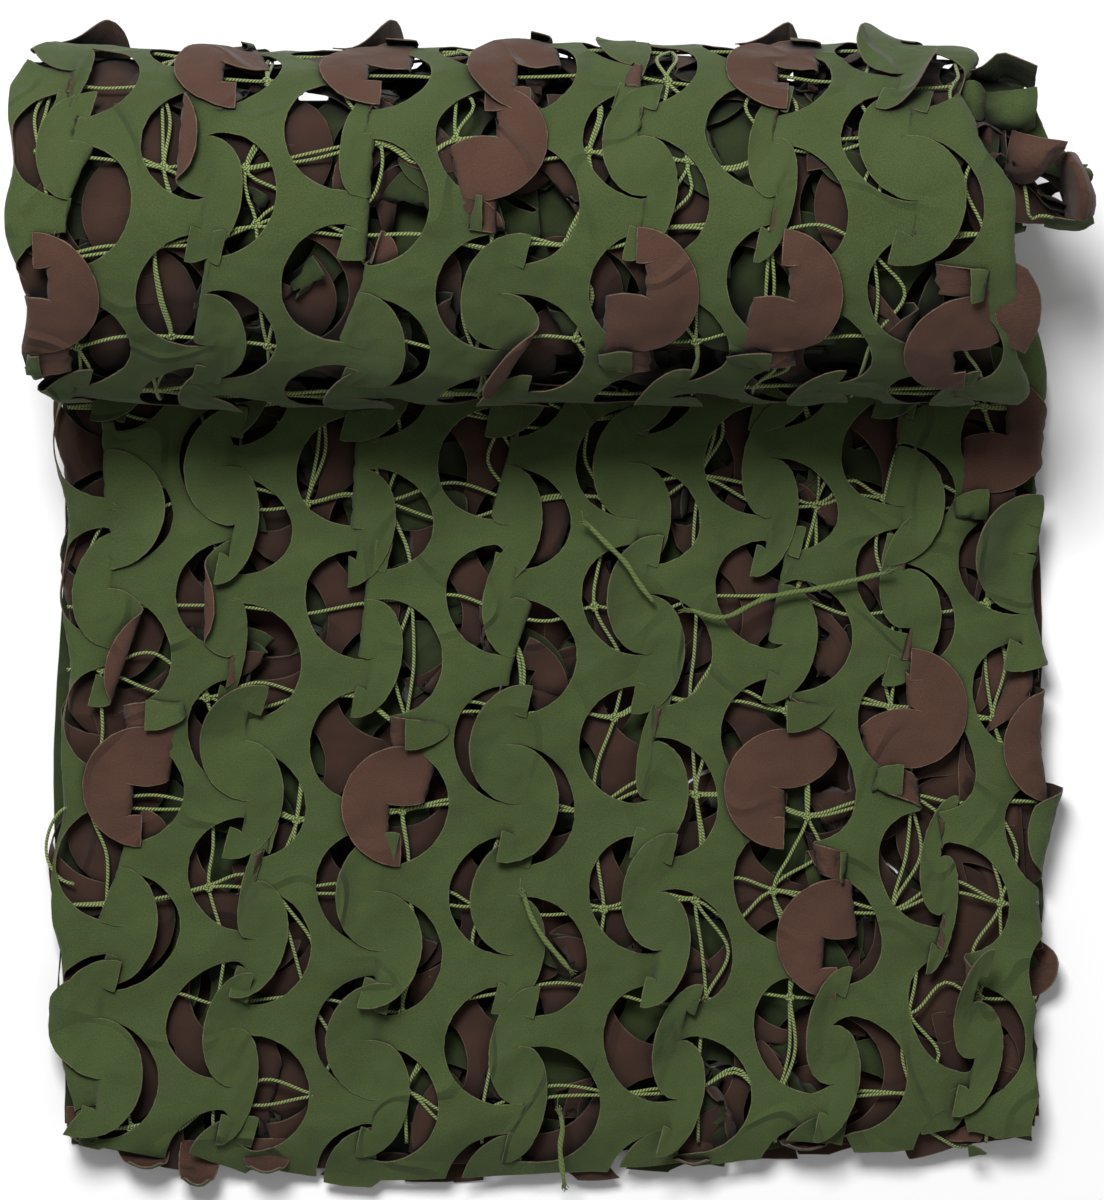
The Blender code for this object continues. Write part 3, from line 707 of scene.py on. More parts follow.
def laid_cloth(
    name, form, columns, table, webs, carrier, which="outer", ceiling=1.0
):
    """Lays a cut length of cloth on what carries it, and makes it a two-coloured sheet."""
    flat = np.array([v.co[:2] for v in form.verts])
    centres = np.array([f.calc_center_median()[:2] for f in form.faces])
    face_kind, face_column, face_row = leaf_parts(centres[:, 0], centres[:, 1], columns)
    kind, column, row = (np.zeros(len(flat), int) for _ in range(3))
    web_x = np.zeros(len(flat))
    for wanted in ((NECK_RIGHT, NECK_LEFT), (WEB,), (FREE,)):
        for i, face in enumerate(form.faces):
            if face_kind[i] in wanted:
                mine = [v.index for v in face.verts]
                kind[mine], column[mine], row[mine] = face_kind[i], face_column[i], face_row[i]
                web_x[mine] = centres[i, 0]
    uv = uv_of(form)
    for face in form.faces:
        face.smooth = True
        for loop in face.loops:
            loop[uv].uv = flat[loop.vert.index]
    plain, rest = kind == WEB, kind != WEB
    across, along, height = (np.zeros(len(flat)) for _ in range(3))
    web = np.where(web_x > column * CUT_PITCH, column + 1, column)
    across[plain], along[plain] = webs(flat[plain, 0], flat[plain, 1], web[plain])
    held_by = (kind[rest], column[rest], row[rest])
    laid = lay_leaves(flat[rest, 0], flat[rest, 1], *held_by, table, webs)
    across[rest], along[rest], height[rest] = laid
    for v, place in zip(form.verts, carrier(across, along, np.clip(height, -ceiling, ceiling))):
        v.co = place
    made = finished_cloth(name, form, which)
    return made


# ------------------------------------------------------------------ garnish cloth: the strip
# Four layers, one long cloth folded back and forth. The uppermost one shows its green face with
# the webs and leaves where they lie; the ones under it show through its holes.

FOLD_RADIUS = LAYER_RISE / 2.0
END_SINKS = 0.0050  # how far the cut end sinks for each layer under it
SCALLOP = 0.0025  # how far the sides go in and out with each row of leaves
UPPER_WEBS = (
    # the x of each web beside leaf rows 0 to 4, counted from the cut end
    (-0.2580, -0.2507, -0.2457, -0.2507, -0.2531),
    (-0.1964, -0.1846, -0.1836, -0.1905, -0.1890),
    (-0.1219, -0.1205, -0.1239, -0.1259, -0.1308),
    (-0.0578, -0.0558, -0.0524, -0.0563, -0.0608),
    (0.0221, 0.0147, 0.0088, 0.0108, 0.0073),
    (0.0971, 0.0862, 0.0793, 0.0774, 0.0710),
    (0.1741, 0.1588, 0.1469, 0.1469, 0.1390),
    (0.2328, 0.2229, 0.2051, 0.1967, 0.1977),
    (0.3018, 0.2919, 0.2741, 0.2657, 0.2667),
)
UPPER_ROWS = (
    # the y of each column's left leaf halves, rows 0 to 4
    (-0.1987, -0.1217, -0.0522, 0.0149, 0.0859),
    (-0.2031, -0.1326, -0.0670, 0.0050, 0.0662),
    (-0.2120, -0.1365, -0.0655, 0.0075, 0.0716),
    (-0.2145, -0.1415, -0.0630, 0.0095, 0.0741),
    (-0.2110, -0.1365, -0.0650, 0.0070, 0.0726),
    (-0.2051, -0.1336, -0.0547, 0.0149, 0.0761),
    (-0.1903, -0.1198, -0.0502, 0.0213, 0.0800),
    (-0.1731, -0.1040, -0.0310, 0.0317, 0.0909),
)
CUT_END = (
    # x, how far the cut end bows out past its corners
    (-0.250, 0.006), (-0.170, 0.018), (-0.100, 0.027),
    (0.020, 0.022), (0.150, 0.012), (0.250, 0.002),
)


def leaf_rows(lines):
    """A table of leaves from a line for each column. Its two numbers are millimetres."""
    cells = [[cell.split() for cell in line.split(",")] for line in lines]
    return [[(form, float(a) / 1000.0, float(b) / 1000.0) for form, a, b in row] for row in cells]


UPPER_LEAVES = leaf_rows((
    # for each column, rows 0 to 4: form, left gap, right gap; or, for a leaf that has turned over,
    # form, how far it has moved right, and how much of its other half shows
    "curled 8 8, tucked_left 10 12.5, over_left 10 12, folded_right 10 10, tucked_left 10 5",
    "curled 21.5 26, curled 27 15, curled 6.5 10.5, folded_left 12 30, curled 5 15",
    "curled 7.5 14, curled 10 10.5, over_left 11.6 12, tucked_left 10 19, tucked_left 10 18",
    "plain 24 27, plain 13 20, curled 7.5 7.5, tucked_right 18 14, tucked_left 24 16",
    "curled 25 25, curled 17 20, folded_left 30 17, plain 13 14, curled 10 14",
    "curled 25 25, over_left 16 6, over_left -1 24, tucked_left 15 18, plain 20 20",
    "curled 21 14, curled 21 26, over_right -4 20, plain 12 8, tucked_left 12 7",
    "curled 10 10, curled 8 10, over_left 11 12, curled 6 10, over_right -19 12",
))


def upper_webs(x, y, web):
    """Where the uppermost layer's webs lie."""
    row_at = [k * LEAF_PERIOD for k in range(5)]
    across = np.zeros(len(x))
    along = np.zeros(len(x))
    for w in set(web.tolist()):
        mine = web == w
        middle = (w - 0.5) * CUT_PITCH
        shift = eased(row_at, UPPER_WEBS[w], y[mine] + LEAF_DROP / 2.0)
        across[mine] = x[mine] - middle + shift
        near = [UPPER_ROWS[c] for c in (w - 1, w) if 0 <= c < len(UPPER_ROWS)]
        rows = [sum(r) / len(near) for r in zip(*near)]
        drift = [laid - k * LEAF_PERIOD for k, laid in enumerate(rows)]
        along[mine] = y[mine] + eased(row_at, drift, y[mine])
    return across, along


def upper_table(column, row):
    if 0 <= row < 5:
        return UPPER_LEAVES[column][row]
    return ("shut" if row < 0 and column not in (1, 5) else "plain", 0.005, 0.009)


def upper_low_edge(x):
    """The cut end, on the flat cloth."""
    web = int(np.clip(round(x / CUT_PITCH + 0.5), 0, 8))
    near = [UPPER_ROWS[c][0] for c in (web - 1, web) if 0 <= c < len(UPPER_ROWS)]
    laid_x = x - (web - 0.5) * CUT_PITCH + UPPER_WEBS[web][0]
    return float(STRIP_END - read_off(CUT_END, 1, laid_x)) - sum(near) / len(near)


def ruck(x, y, seed, size):
    """Soft rucks in cloth that has been folded up for a while."""
    dice = np.random.default_rng(seed)
    lift = np.zeros(len(x))
    for _ in range(7):
        way, length = dice.uniform(0, math.pi), dice.uniform(0.035, 0.110)
        wave = (x * math.cos(way) + y * math.sin(way)) / length
        swell = np.sin(2.0 * math.pi * wave + dice.uniform(0, 6) + 0.8 * np.sin(wave * 2.1 + 1.0))
        lift += 0.6 * swell + 0.6 * (1.0 - 2.0 * np.abs(swell))
    return size * lift / 7.0 * 2.2


def sunk(along, layer):
    """How far a layer's cut end has sunk on what lies under it."""
    return np.clip((STRIP_END + 0.010 - along) / 0.035, 0.0, 1.0) ** 2 * END_SINKS * layer


def round_side(x, rise, lean_x, lean_up, side, edge):
    """Takes what lies past a side's edge round a tight fold and back underneath."""
    past = side * (x - edge)
    out = past > 0
    swing = np.clip(past / FOLD_RADIUS, 0.0, math.pi)
    after = np.maximum(past - math.pi * FOLD_RADIUS, 0.0)
    return (
        np.where(out, edge + side * (FOLD_RADIUS * np.sin(swing) - after), x),
        np.where(out, rise - FOLD_RADIUS * (1.0 - np.cos(swing)), rise),
        np.where(out, side * np.sin(swing), lean_x),
        np.where(out, np.cos(swing), lean_up),
    )


def strip_carrier(layer, green_up, fold_right, fold_left, seed, roughness=0.0016):
    """Puts laid points on a layer of the strip, and round the folds at its sides."""

    def carrier(across, along, height):
        along = np.maximum(along, STRIP_END - 0.0300)
        scallop = SCALLOP * np.sin(2.0 * np.pi * along / LEAF_PERIOD + 1.3 * layer)
        left = read_off(STRIP_SIDES, 1, along) + scallop
        right = read_off(STRIP_SIDES, 2, along) + 0.8 * scallop
        x, z = across, stack_height(layer, across, along)
        lean_x, lean_z = np.zeros(len(x)), np.ones(len(x))
        for side, edge, folds in ((1.0, right, fold_right), (-1.0, left, fold_left)):
            if folds:
                x, z, lean_x, lean_z = round_side(x, z, lean_x, lean_z, side, edge)
        z = z + ruck(across, along, seed, roughness) * (0.4 if layer == 0 else 1.0)
        over = height if green_up else -height
        z = np.maximum(z + over * lean_z - sunk(along, layer), 0.0008)
        return np.stack((x + over * lean_x, along, z), axis=1)

    return carrier


upper_sheet = laid_cloth(
    "garnish_upper_layer",
    cut_cloth(8, range(-2, 6), upper_low_edge, 0.355, 0.0037),
    8,
    upper_table,
    upper_webs,
    strip_carrier(3, True, True, True, 11),
)
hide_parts("garnish_cloth")


def even_webs(start, seed, pitch):
    """Webs that lie at an even pitch, swaying a little."""

    def webs(x, y, web):
        along = STRIP_END + 0.030 + y + 0.004 * np.sin(web * 2.4 + seed)
        sway = 0.003 * np.sin(y / 0.045 + web * 1.9 + seed)
        across = start + x + (pitch - CUT_PITCH) * web + sway
        return across, along

    return webs


LOWER_COLUMNS = 7
MIXED_FORMS = ["plain", "tucked_left", "tucked_right", "over_left", "over_right", "folded_right"]
MIXED_SHARES = [0.20, 0.14, 0.14, 0.22, 0.20, 0.10]
EAR_FOLDS = (140.0, 174.0)  # degrees that a hidden leaf's corners are folded back or under
EAR_PLACES = (0.005, 0.020)  # how far from its middle


def mixed_leaves(seed, least=0.005, most=0.022, from_row=0):
    """Leaves as they happen to lie in the layers that only show through holes."""

    def table(column, row):
        if row < from_row or column in (0, LOWER_COLUMNS - 1):
            return "plain", least * 0.5, least * 0.5
        dice = np.random.default_rng(abs(column * 31 + row * 17) + seed)
        form = dice.choice(MIXED_FORMS, p=MIXED_SHARES)
        ears = []
        for _ in range(dice.integers(2, 5)):
            fold = dice.choice([-1.0, 1.0]) * dice.uniform(*EAR_FOLDS)
            ears.append((dice.uniform(0.0, 360.0), dice.uniform(*EAR_PLACES), fold))
        first, second = dice.uniform(least, most, 2)
        if form.startswith("over"):
            first = 0.011 if form == "over_left" else -0.011
        return str(form), float(first), float(second), *ears

    return table


def face_down(carrier):
    """The same carrier for cloth that lies brown side up, so that its cuts show mirrored."""
    return lambda across, along, height: carrier(-across, along, height)


LOWER_LAYERS = (
    # name, layer, green side up, folded on its right, on its left, grain, start x, columns,
    # first and last column cut, pitch as laid, what it lies on
    ("garnish_second_layer", 2, False, False, True, 0.0052, -0.1990, 7, -0.5, 6.5, LAID_PITCH,
     ["garnish_third_layer"]),
    ("garnish_third_layer", 1, True, True, False, 0.0080, -0.2071, 7, -0.67, 6.5, LAID_PITCH,
     ["garnish_lowest_layer"]),
    ("garnish_lowest_layer", 0, False, False, False, 0.0085, -0.2080, 8, -0.5, 7.35, CUT_PITCH, []),
)
for name, layer, green_up, *folds, grain, start, columns, first, last, pitch, below in LOWER_LAYERS:

    def end_of_layer(x):
        laid_x = (1.0 if green_up else -1.0) * (start + x * pitch / CUT_PITCH)
        uneven = 0.004 * math.sin(laid_x / 0.031 + 2.0 * layer)
        return float(-0.027 - read_off(CUT_END, 1, laid_x) + uneven)

    carrier = strip_carrier(layer, green_up, *folds, 20 + layer, 0.0012)
    laid_cloth(
        name,
        cut_cloth(columns, range(-1, 6), end_of_layer, 0.378, grain, first, last),
        columns,
        mixed_leaves(40 + layer) if layer else lambda column, row: ("hidden", 0.0, 0.0),
        even_webs(start, layer * 1.7, pitch),
        carrier if green_up else face_down(carrier),
        "inner",
        0.0042,
    )

# ------------------------------------------------------------------ garnish cloth: the roll
# The lowest layer goes on up round the back of the roll, over its top and down its front, green
# side out. Under it are turns that show their brown back, and the rest is wound up inside.

ROLL_SPREAD = 0.0833  # the roll's radius, as far as lengths of cloth round it go
FIRST_ROW_TURN = 65.0  # degrees round the roll, from its back, of a row of upper leaf halves
FIRST_TURN, LAST_TURN = -75.0, 216.0  # where the outer turn starts and stops
STARTS_LATER = 0.06  # how much shorter the turns under it are
ROLL_ENDS = (
    # degrees round the roll, left x, right x
    (-90, -0.241, 0.2150),
    (0, -0.240, 0.1950),
    (28, -0.252, 0.1950),
    (45, -0.254, 0.1880),
    (62, -0.255, 0.1900),
    (86, -0.253, 0.2125),
    (108, -0.250, 0.2080),
    (130, -0.247, 0.2150),
    (180, -0.242, 0.2200),
    (220, -0.240, 0.2220),
)
ROLL_WEBS = (
    # the x of each web at the upper row and at the row below it, from the left
    (-0.2595, -0.2595),
    (-0.1986, -0.2012),
    (-0.1307, -0.1321),
    (-0.0590, -0.0594),
    (0.0118, 0.0146),
    (0.0736, 0.0839),
    (0.1388, 0.1519),
    (0.2020, 0.2137),
)
ROLL_COLUMNS = 7
ROLL_LEAVES = leaf_rows((
    # for each column from the left, four rows from the back down to the front, as on the strip
    "plain 10 22, tucked_right 14 10, over_right -15 12, plain 10 20",
    "over_left 11 12, folded_left 10 16, tucked_left 20 16, plain 20 20",
    "over_left 11 12, tucked_right 26 10, tucked_left 20 13, plain 20 20",
    "over_left 11 12, over_right -11 12, folded_right 14 20, plain 20 20",
    "plain 10 24, plain 10 13, over_right -11 12, plain 20 20",
    "over_left 11 12, plain 20 22, over_right -11 12, plain 20 20",
    "standing 10 12, plain 6 6, over_left 15 12, plain 20 20",
))
BACK_FLAPS = ("standing", "plain", "standing", "plain", "plain", "standing", "plain")


def roll_carrier(inset, out_sign, seed, roughness=0.0010):
    """Puts laid points round the roll. Distance along is measured from the upper row of leaves."""

    def carrier(across, along, height):
        turn = FIRST_ROW_TURN + np.degrees(along / (ROLL_SPREAD - inset))
        radians = np.radians(turn)
        on_top = smooth((turn + 70.0) / 40.0) * smooth((214.0 - turn) / 30.0)
        x, lie = -across, np.full(len(across), -inset)
        lean_x, lean_out = np.zeros(len(x)), np.ones(len(x))
        for size, count, slant in ROLL_RIDGES:
            lie = lie + size * np.sin(count * radians + x / slant) * on_top
        lie = lie + ruck(x, along, seed, roughness)
        for side, which in ((-1.0, 1), (1.0, 2)):
            scallop = 0.003 * np.sin(2.0 * np.pi * along / LEAF_PERIOD + which)
            edge = read_off(ROLL_ENDS, which, turn) + scallop
            x, lie, lean_x, lean_out = round_side(x, lie, lean_x, lean_out, side, edge)
        over = out_sign * height
        y, z = round_roll(radians, lie + over * lean_out)
        return np.stack((x + over * lean_x, y, np.maximum(z, 0.0006 + inset * 0.4)), axis=1)

    return carrier


def roll_webs(x, y, web):
    """Where the outer turn's webs lie. Its flat pattern counts columns from the right."""
    across = np.zeros(len(x))
    for w in set(web.tolist()):
        mine = web == w
        upper_row, lower_row = ROLL_WEBS[ROLL_COLUMNS - w]
        laid = upper_row + (lower_row - upper_row) * np.clip(y[mine] / LEAF_PERIOD - 0.2, -0.6, 1.6)
        across[mine] = x[mine] - (w - 0.5) * CUT_PITCH - laid
    return across, y + LEAF_DROP + 0.003 * np.sin(2.2 * web)


def swapped(form):
    """The same form of a leaf seen from the cloth's other end."""
    kind, _, side = form.partition("_")
    return kind + {"": "", "left": "_right", "right": "_left"}[side]


def roll_table(column, row):
    if row == -2:
        return BACK_FLAPS[ROLL_COLUMNS - 1 - column], 0.010, 0.012
    if -1 <= row < 3:
        form, left, right = ROLL_LEAVES[ROLL_COLUMNS - 1 - column][row + 1]
        return swapped(form), *((-left, right) if form.startswith("over") else (right, left))
    return "plain", 0.010, 0.014


def even_turn(seed):
    def webs(x, y, web):
        sway = 0.004 * np.sin(y / 0.05 + web * 1.3 + seed)
        across = -0.2035 + x + (LAID_PITCH - CUT_PITCH) * web + sway
        return across, y + LEAF_DROP + 0.004 * np.sin(1.7 * web + seed)

    return webs


ROLL_START = math.radians(FIRST_TURN - FIRST_ROW_TURN) * ROLL_SPREAD - LEAF_DROP
ROLL_STOP = math.radians(LAST_TURN - FIRST_ROW_TURN) * ROLL_SPREAD - LEAF_DROP
INNER_START = ROLL_START + STARTS_LATER
first_row = math.ceil(ROLL_START / LEAF_PERIOD) - 1
laid_cloth(
    "garnish_outer_turn",
    cut_cloth(ROLL_COLUMNS, range(first_row, 4), lambda x: ROLL_START, ROLL_STOP, 0.0040, -0.74),
    ROLL_COLUMNS,
    roll_table,
    roll_webs,
    roll_carrier(0.0, 1.0, 31),
)
for name, inset, out_sign, grain, first, last, below in (
    ("garnish_second_turn", 0.0070, -1.0, 0.0062, -0.85, 5.80, "garnish_third_turn"),
    ("garnish_third_turn", 0.0135, 1.0, 0.0085, -0.05, 6.50, "garnish_wound_up"),
):
    carrier = roll_carrier(inset, out_sign, 33, 0.0016)
    laid_cloth(
        name,
        cut_cloth(ROLL_COLUMNS, range(-2, 4), lambda x: INNER_START, ROLL_STOP, grain, first, last),
        ROLL_COLUMNS,
        mixed_leaves(70 + int(inset * 1e4), 0.003, 0.012, -9),
        even_turn(inset * 900.0),
        carrier if out_sign > 0 else face_down(carrier),
        "inner",
        0.0035,
    )

# ------------------------------------------------------------------ garnish cloth: wound up inside
# What is rolled up first: plain turns of the folded cloth, whose edges show at the roll's ends.

WOUND_TURNS = 6
WOUND_GAP = 0.0068
WOUND_START = 0.0200
WOUND_FROM = 210.0  # degrees round the roll at which its outermost turn starts
WOUND_LEFT, WOUND_RIGHT = -0.243, 0.205
ALONG_STEPS, TURN_STEPS = 44, 30 * WOUND_TURNS
form = bmesh.new()
rows = []
for i in range(TURN_STEPS + 1):
    turn = -2.0 * math.pi * WOUND_TURNS * i / TURN_STEPS + math.radians(WOUND_FROM)
    inset = WOUND_START + WOUND_GAP * WOUND_TURNS * i / TURN_STEPS
    left = WOUND_LEFT + 0.004 * math.sin(2.3 * turn) + 0.003 * math.sin(0.7 * turn + 1.0)
    right = WOUND_RIGHT + 0.005 * math.sin(1.9 * turn + 0.5)
    row = []
    for x in (left + (right - left) * j / ALONG_STEPS for j in range(ALONG_STEPS + 1)):
        lie = 0.0016 * math.sin(2.0 * turn + x / 0.06) + 0.0008 * math.sin(5.0 * turn - x / 0.03)
        y, z = round_roll(turn, lie - inset)
        row.append(form.verts.new((x, y, max(z, 0.004))))
    rows.append(row)
skin(form, rows, lambda a, b: (b * 0.0105, a * 0.014))
wound_up = finished_cloth("garnish_wound_up", form, "inner")

# ------------------------------------------------------------------ garnish cloth: the bunched end
# At the right the inner turns' ends stick out of the roll in a loose bunch of deep folds. Over
# the bunch lie a few turned-back tabs and a loop of the same cloth.

TAIL_SECTIONS = (
    # x, y, z of the bunch's middle, radius, degrees turned
    (0.180, 0.214, 0.094, 0.038, 0),
    (0.205, 0.219, 0.098, 0.038, 10),
    (0.220, 0.218, 0.099, 0.033, 24),
    (0.232, 0.208, 0.098, 0.021, 40),
    (0.252, 0.203, 0.096, 0.015, 58),
)
TAIL_COLUMNS = 4
TAIL_START, TAIL_STOP = 0.182, 0.256  # x
TAIL_ROUND = 0.0385  # radius that the tail's cloth would have if it weren't bunched


def tail_carrier(across, along, height):
    x = TAIL_START + along
    y, z, radius, turned = (read_off(TAIL_SECTIONS, column, x) for column in (1, 2, 3, 4))
    turn = across / TAIL_ROUND
    fold = 0.80 + 0.20 * np.sin(5.0 * turn + 1.57) + 0.07 * np.sin(3.0 * turn + 60.0 * x)
    swing = turn + np.radians(turned)
    reach = radius * fold + height - 0.0010
    x = x + 0.004 * np.sin(4.0 * turn + 0.7)
    y, z = y + reach * np.cos(swing), z + reach * np.sin(swing)
    return np.stack((np.minimum(x, TAIL_STOP), y, z), axis=1)


laid_cloth(
    "garnish_tail",
    cut_cloth(TAIL_COLUMNS, range(-1, 3), lambda x: -0.004, 0.070, 0.0045),
    TAIL_COLUMNS,
    mixed_leaves(91, 0.005, 0.022, -9),
    lambda x, y, web: (-x, y),
    tail_carrier,
)

TAIL_TABS = (
    # name, rows of points across the tab, in millimetres
    ("green_box_front",
     "202.2 248 118, 211.3 247.6 127, 218.9 248 132, 226.2 249.6 130",
     "202.3 240.5 122, 210.5 240.5 131, 218.5 240 136, 226 241.4 132",
     "203.2 233.3 118, 209.8 233.3 128, 217.9 231.9 132, 225.4 235.1 128",
     "206.4 228 104, 212.3 228.2 112, 219.7 227 114, 226.8 229.3 110"),
    ("green_box_back",
     "195.1 258.7 112, 201.3 259.8 128, 207.9 264.8 138, 215.3 262.7 140, 225.6 258.9 136",
     "199.1 256.2 100, 205.6 257.7 112, 211.2 263.7 118, 218.2 260.7 120, 226.9 257.1 118",
     "205.1 251.9 86, 209.4 253.2 92, 213.8 255.6 96, 220.5 254.7 96, 228.4 252 94"),
    ("green_box_inside",
     "194 260 96, 203 261 90, 213 261 88, 224 258 90",
     "194 248 86, 203 248 82, 213 248 80, 224 247 84",
     "196 234 90, 204 233 90, 213 232 92, 223 232 94"),
    ("green_leaf_behind",
     "190 252 118, 196 253.5 120, 200.5 252 119, 203 249 116",
     "190.5 244 124, 196 244 126, 201 243 124, 204 241.5 120",
     "191 236 126, 195.5 235 127, 199.5 234.5 125, 201.5 235 122"),
    ("brown_pleat",
     "198.5 233 118, 204 232 124, 208.5 231 118, 212 230 122",
     "199 224 118, 204.5 222.5 125, 209 221.5 118, 212.5 220.5 123",
     "202 212 116, 206.5 210.5 122, 210.5 209.5 116, 213.5 208.5 120"),
    ("brown_flap",
     "215.2 229.2 126, 219.6 227 134, 229.1 224.2 138, 240.8 223.6 130",
     "212.9 219.8 130, 218.9 217.8 141, 228.1 216.7 143, 237.6 218.5 134",
     "212.1 211.8 124, 217.5 209.8 136, 225.9 208.8 137, 232.3 212.2 130",
     "214.7 208.2 112, 219.7 204.7 124, 225.4 205.7 124, 230.3 210 118"),
    ("brown_loop",
     "234 216.4 100, 237.4 210.2 100, 241 200.4 102, 242.7 190.2 104",
     "236.7 217.3 116, 241 210.3 120, 244.6 199.7 122, 245 188.6 118",
     "240.5 219 124, 245.6 211.3 130, 249.1 199.8 132, 249.1 187.2 124",
     "245.4 219.9 114, 250.7 210.5 118, 254.3 198.9 120, 254.2 190 112",
     "249.6 220.3 94, 254.4 210.7 94, 258 200 96, 257.5 192.6 92"),
    ("brown_leaf",
     "206 166 149, 210.5 165.5 151, 215 164.5 151, 220 162 149",
     "205 154 148, 211 153 149, 219 152 148, 226.2 150.5 144",
     "206 140 142, 212 139 143, 219.5 137.5 142, 226 136 138",
     "212 127.5 132, 215 126.2 133, 217.5 125.2 132, 220.5 124 130"),
    ("green_strap",
     "231.8 189.8 114, 238.6 188.5 118, 246.9 187.4 120, 253.3 190 122",
     "232.2 185.6 108, 239 183.8 112, 248.3 183.2 114, 254.7 186.4 116"),
)


def read_points(line):
    """Points from a line of text, in millimetres."""
    return [[float(v) / 1000.0 for v in point.split()] for point in line.split(",")]


def patch(form, rows, step, seed, crumple=0.0006):
    """A piece of cloth drawn smoothly through rows of points."""
    dice = np.random.default_rng(seed)
    lines = [through(row, step) for row in rows]
    count = min(len(line) for line in lines)
    lines = [line[np.linspace(0, len(line) - 1, count).round().astype(int)] for line in lines]
    ways = [through([line[i] for line in lines], step) for i in range(count)]
    depth = max(len(way) for way in ways)
    ways = [way[np.linspace(0, len(way) - 1, depth).round().astype(int)] for way in ways]
    phase = dice.uniform(0, 6, 3)
    grid = []
    for i, way in enumerate(ways):
        line = []
        for j, place in enumerate(way):
            wave = math.sin(i * step / 0.004 + phase[0]) * math.sin(j * step / 0.005 + phase[1])
            line.append(form.verts.new((place[0], place[1], place[2] + crumple * wave)))
        grid.append(line)
    skin(form, grid, lambda a, b: (phase[2] + a * step, b * step))


def loose_piece(name, rows, step, seed, brown_up):
    """A small folded piece drawn through rows of points, with its green or brown face up."""
    form = bmesh.new()
    patch(form, rows, step, seed)
    bmesh.ops.recalc_face_normals(form, faces=form.faces)
    facing_up = sum(f.normal.z * f.calc_area() for f in form.faces) > 0
    if facing_up == brown_up:
        bmesh.ops.reverse_faces(form, faces=form.faces)
    made = finished_cloth(name, form, "outer", 0.0)


for number, (name, *lines) in enumerate(TAIL_TABS):
    rows = [read_points(line) for line in lines]
    sizes = [spacing(np.array(line))[-1] for line in (rows[0], [row[0] for row in rows])]
    brown_up = name.startswith("brown")
    loose_piece("tail_" + name, rows, 0.0022, number, brown_up)

# ------------------------------------------------------------------ garnish cloth: the end's curls
# Under the strip's cut end a few brown leaf ends of the lower layers have curled out. Each is a
# small round-ended piece whose tip turns up.

CURL_HEIGHT = 0.0135
CURL_ROWS = (
    # how far out, how wide, the lift there as a share of the tip's and in metres
    (0.0, 1.0, 0.0, 0.0),
    (0.4, 1.0, 0.0, 0.0015),
    (0.75, 0.92, 0.4, 0.0),
    (0.97, 0.74, 1.0, 0.0),
    (0.92, 0.58, 1.0, 0.003),
)
CURL_PARTS = ((-0.5, -1.0), (-0.17, 0.6), (0.17, 0.8), (0.5, -0.6))  # place across, sag
END_CURLS = (
    # name, x, y where it comes out, width, how far it reaches out, how high its tip turns up
    ("left_corner", -0.2330, -0.2450, 0.022, 0.017, 0.007),
    ("by_left", -0.2080, -0.2580, 0.026, 0.016, 0.006),
    ("round", -0.1770, -0.2620, 0.020, 0.021, 0.004),
    ("middle_left", -0.1440, -0.2610, 0.024, 0.015, 0.007),
    ("middle_right", 0.0630, -0.2600, 0.024, 0.012, 0.006),
    ("by_right", 0.1240, -0.2510, 0.027, 0.014, 0.007),
)
for number, (name, x, y, width, reach, high) in enumerate(END_CURLS):
    rows = []
    for out, wide, share, lift in CURL_ROWS:
        row = []
        for part, sag in CURL_PARTS:
            place_x = x + part * width * wide + 0.15 * out * width * math.sin(2.0 * number)
            place_y = y - reach * out - 0.10 * reach * out * sag
            place_z = CURL_HEIGHT + share * high + lift + 0.0012 * sag * math.cos(1.7 * number)
            row.append((place_x, place_y, place_z))
        rows.append(row)
    loose_piece("curl_" + name, rows, 0.0020, 40 + number, True)

# ------------------------------------------------------------------ carrier net
# The cloth is fixed to a knotted net of two-ply twisted cord, with meshes about as wide as a
# hand. Its cords lie slack under the upper cloth, often side by side, and show in the holes.

NET_CORD = 0.0017
UNDER_UPPER = 0.0036
SLACK = 0.0050  # how far knots and cords stray from an even mesh, and doubled cords from each other
KNOT = 0.0021
MOST_LIFT = 0.0003  # no cord rises into the cloth over it
SHARE_DOUBLED = 0.62  # share of the cords that lie side by side with another
# The strands' colour, and the nearly black painted shade in the grooves between them.
CORD_GREEN = ((0.230, 0.300, 0.085, 1.0), (0.014, 0.019, 0.007, 1.0))
twisted_cord = yarn_finish("twisted cord", *CORD_GREEN, 0.00165, 2)


def on_strip(across, along, lift):
    left, right = (read_off(STRIP_SIDES, which, along) for which in (1, 2))
    x = np.clip(across, left - 0.003, right + 0.003)
    z = stack_height(3, x, along) - UNDER_UPPER - sunk(along, 3) + lift
    return np.stack((x, along, z), axis=1)


def on_roll(across, along, lift):
    turn = np.radians(FIRST_ROW_TURN + np.degrees(along / ROLL_SPREAD))
    lie = -UNDER_UPPER + lift
    for size, count, slant in ROLL_RIDGES:
        lie = lie + size * np.sin(count * turn + across / slant)
    x = np.minimum(across, read_off(ROLL_ENDS, 2, np.degrees(turn)) - 0.003)
    return np.stack((x, *round_roll(turn, lie)), axis=1)


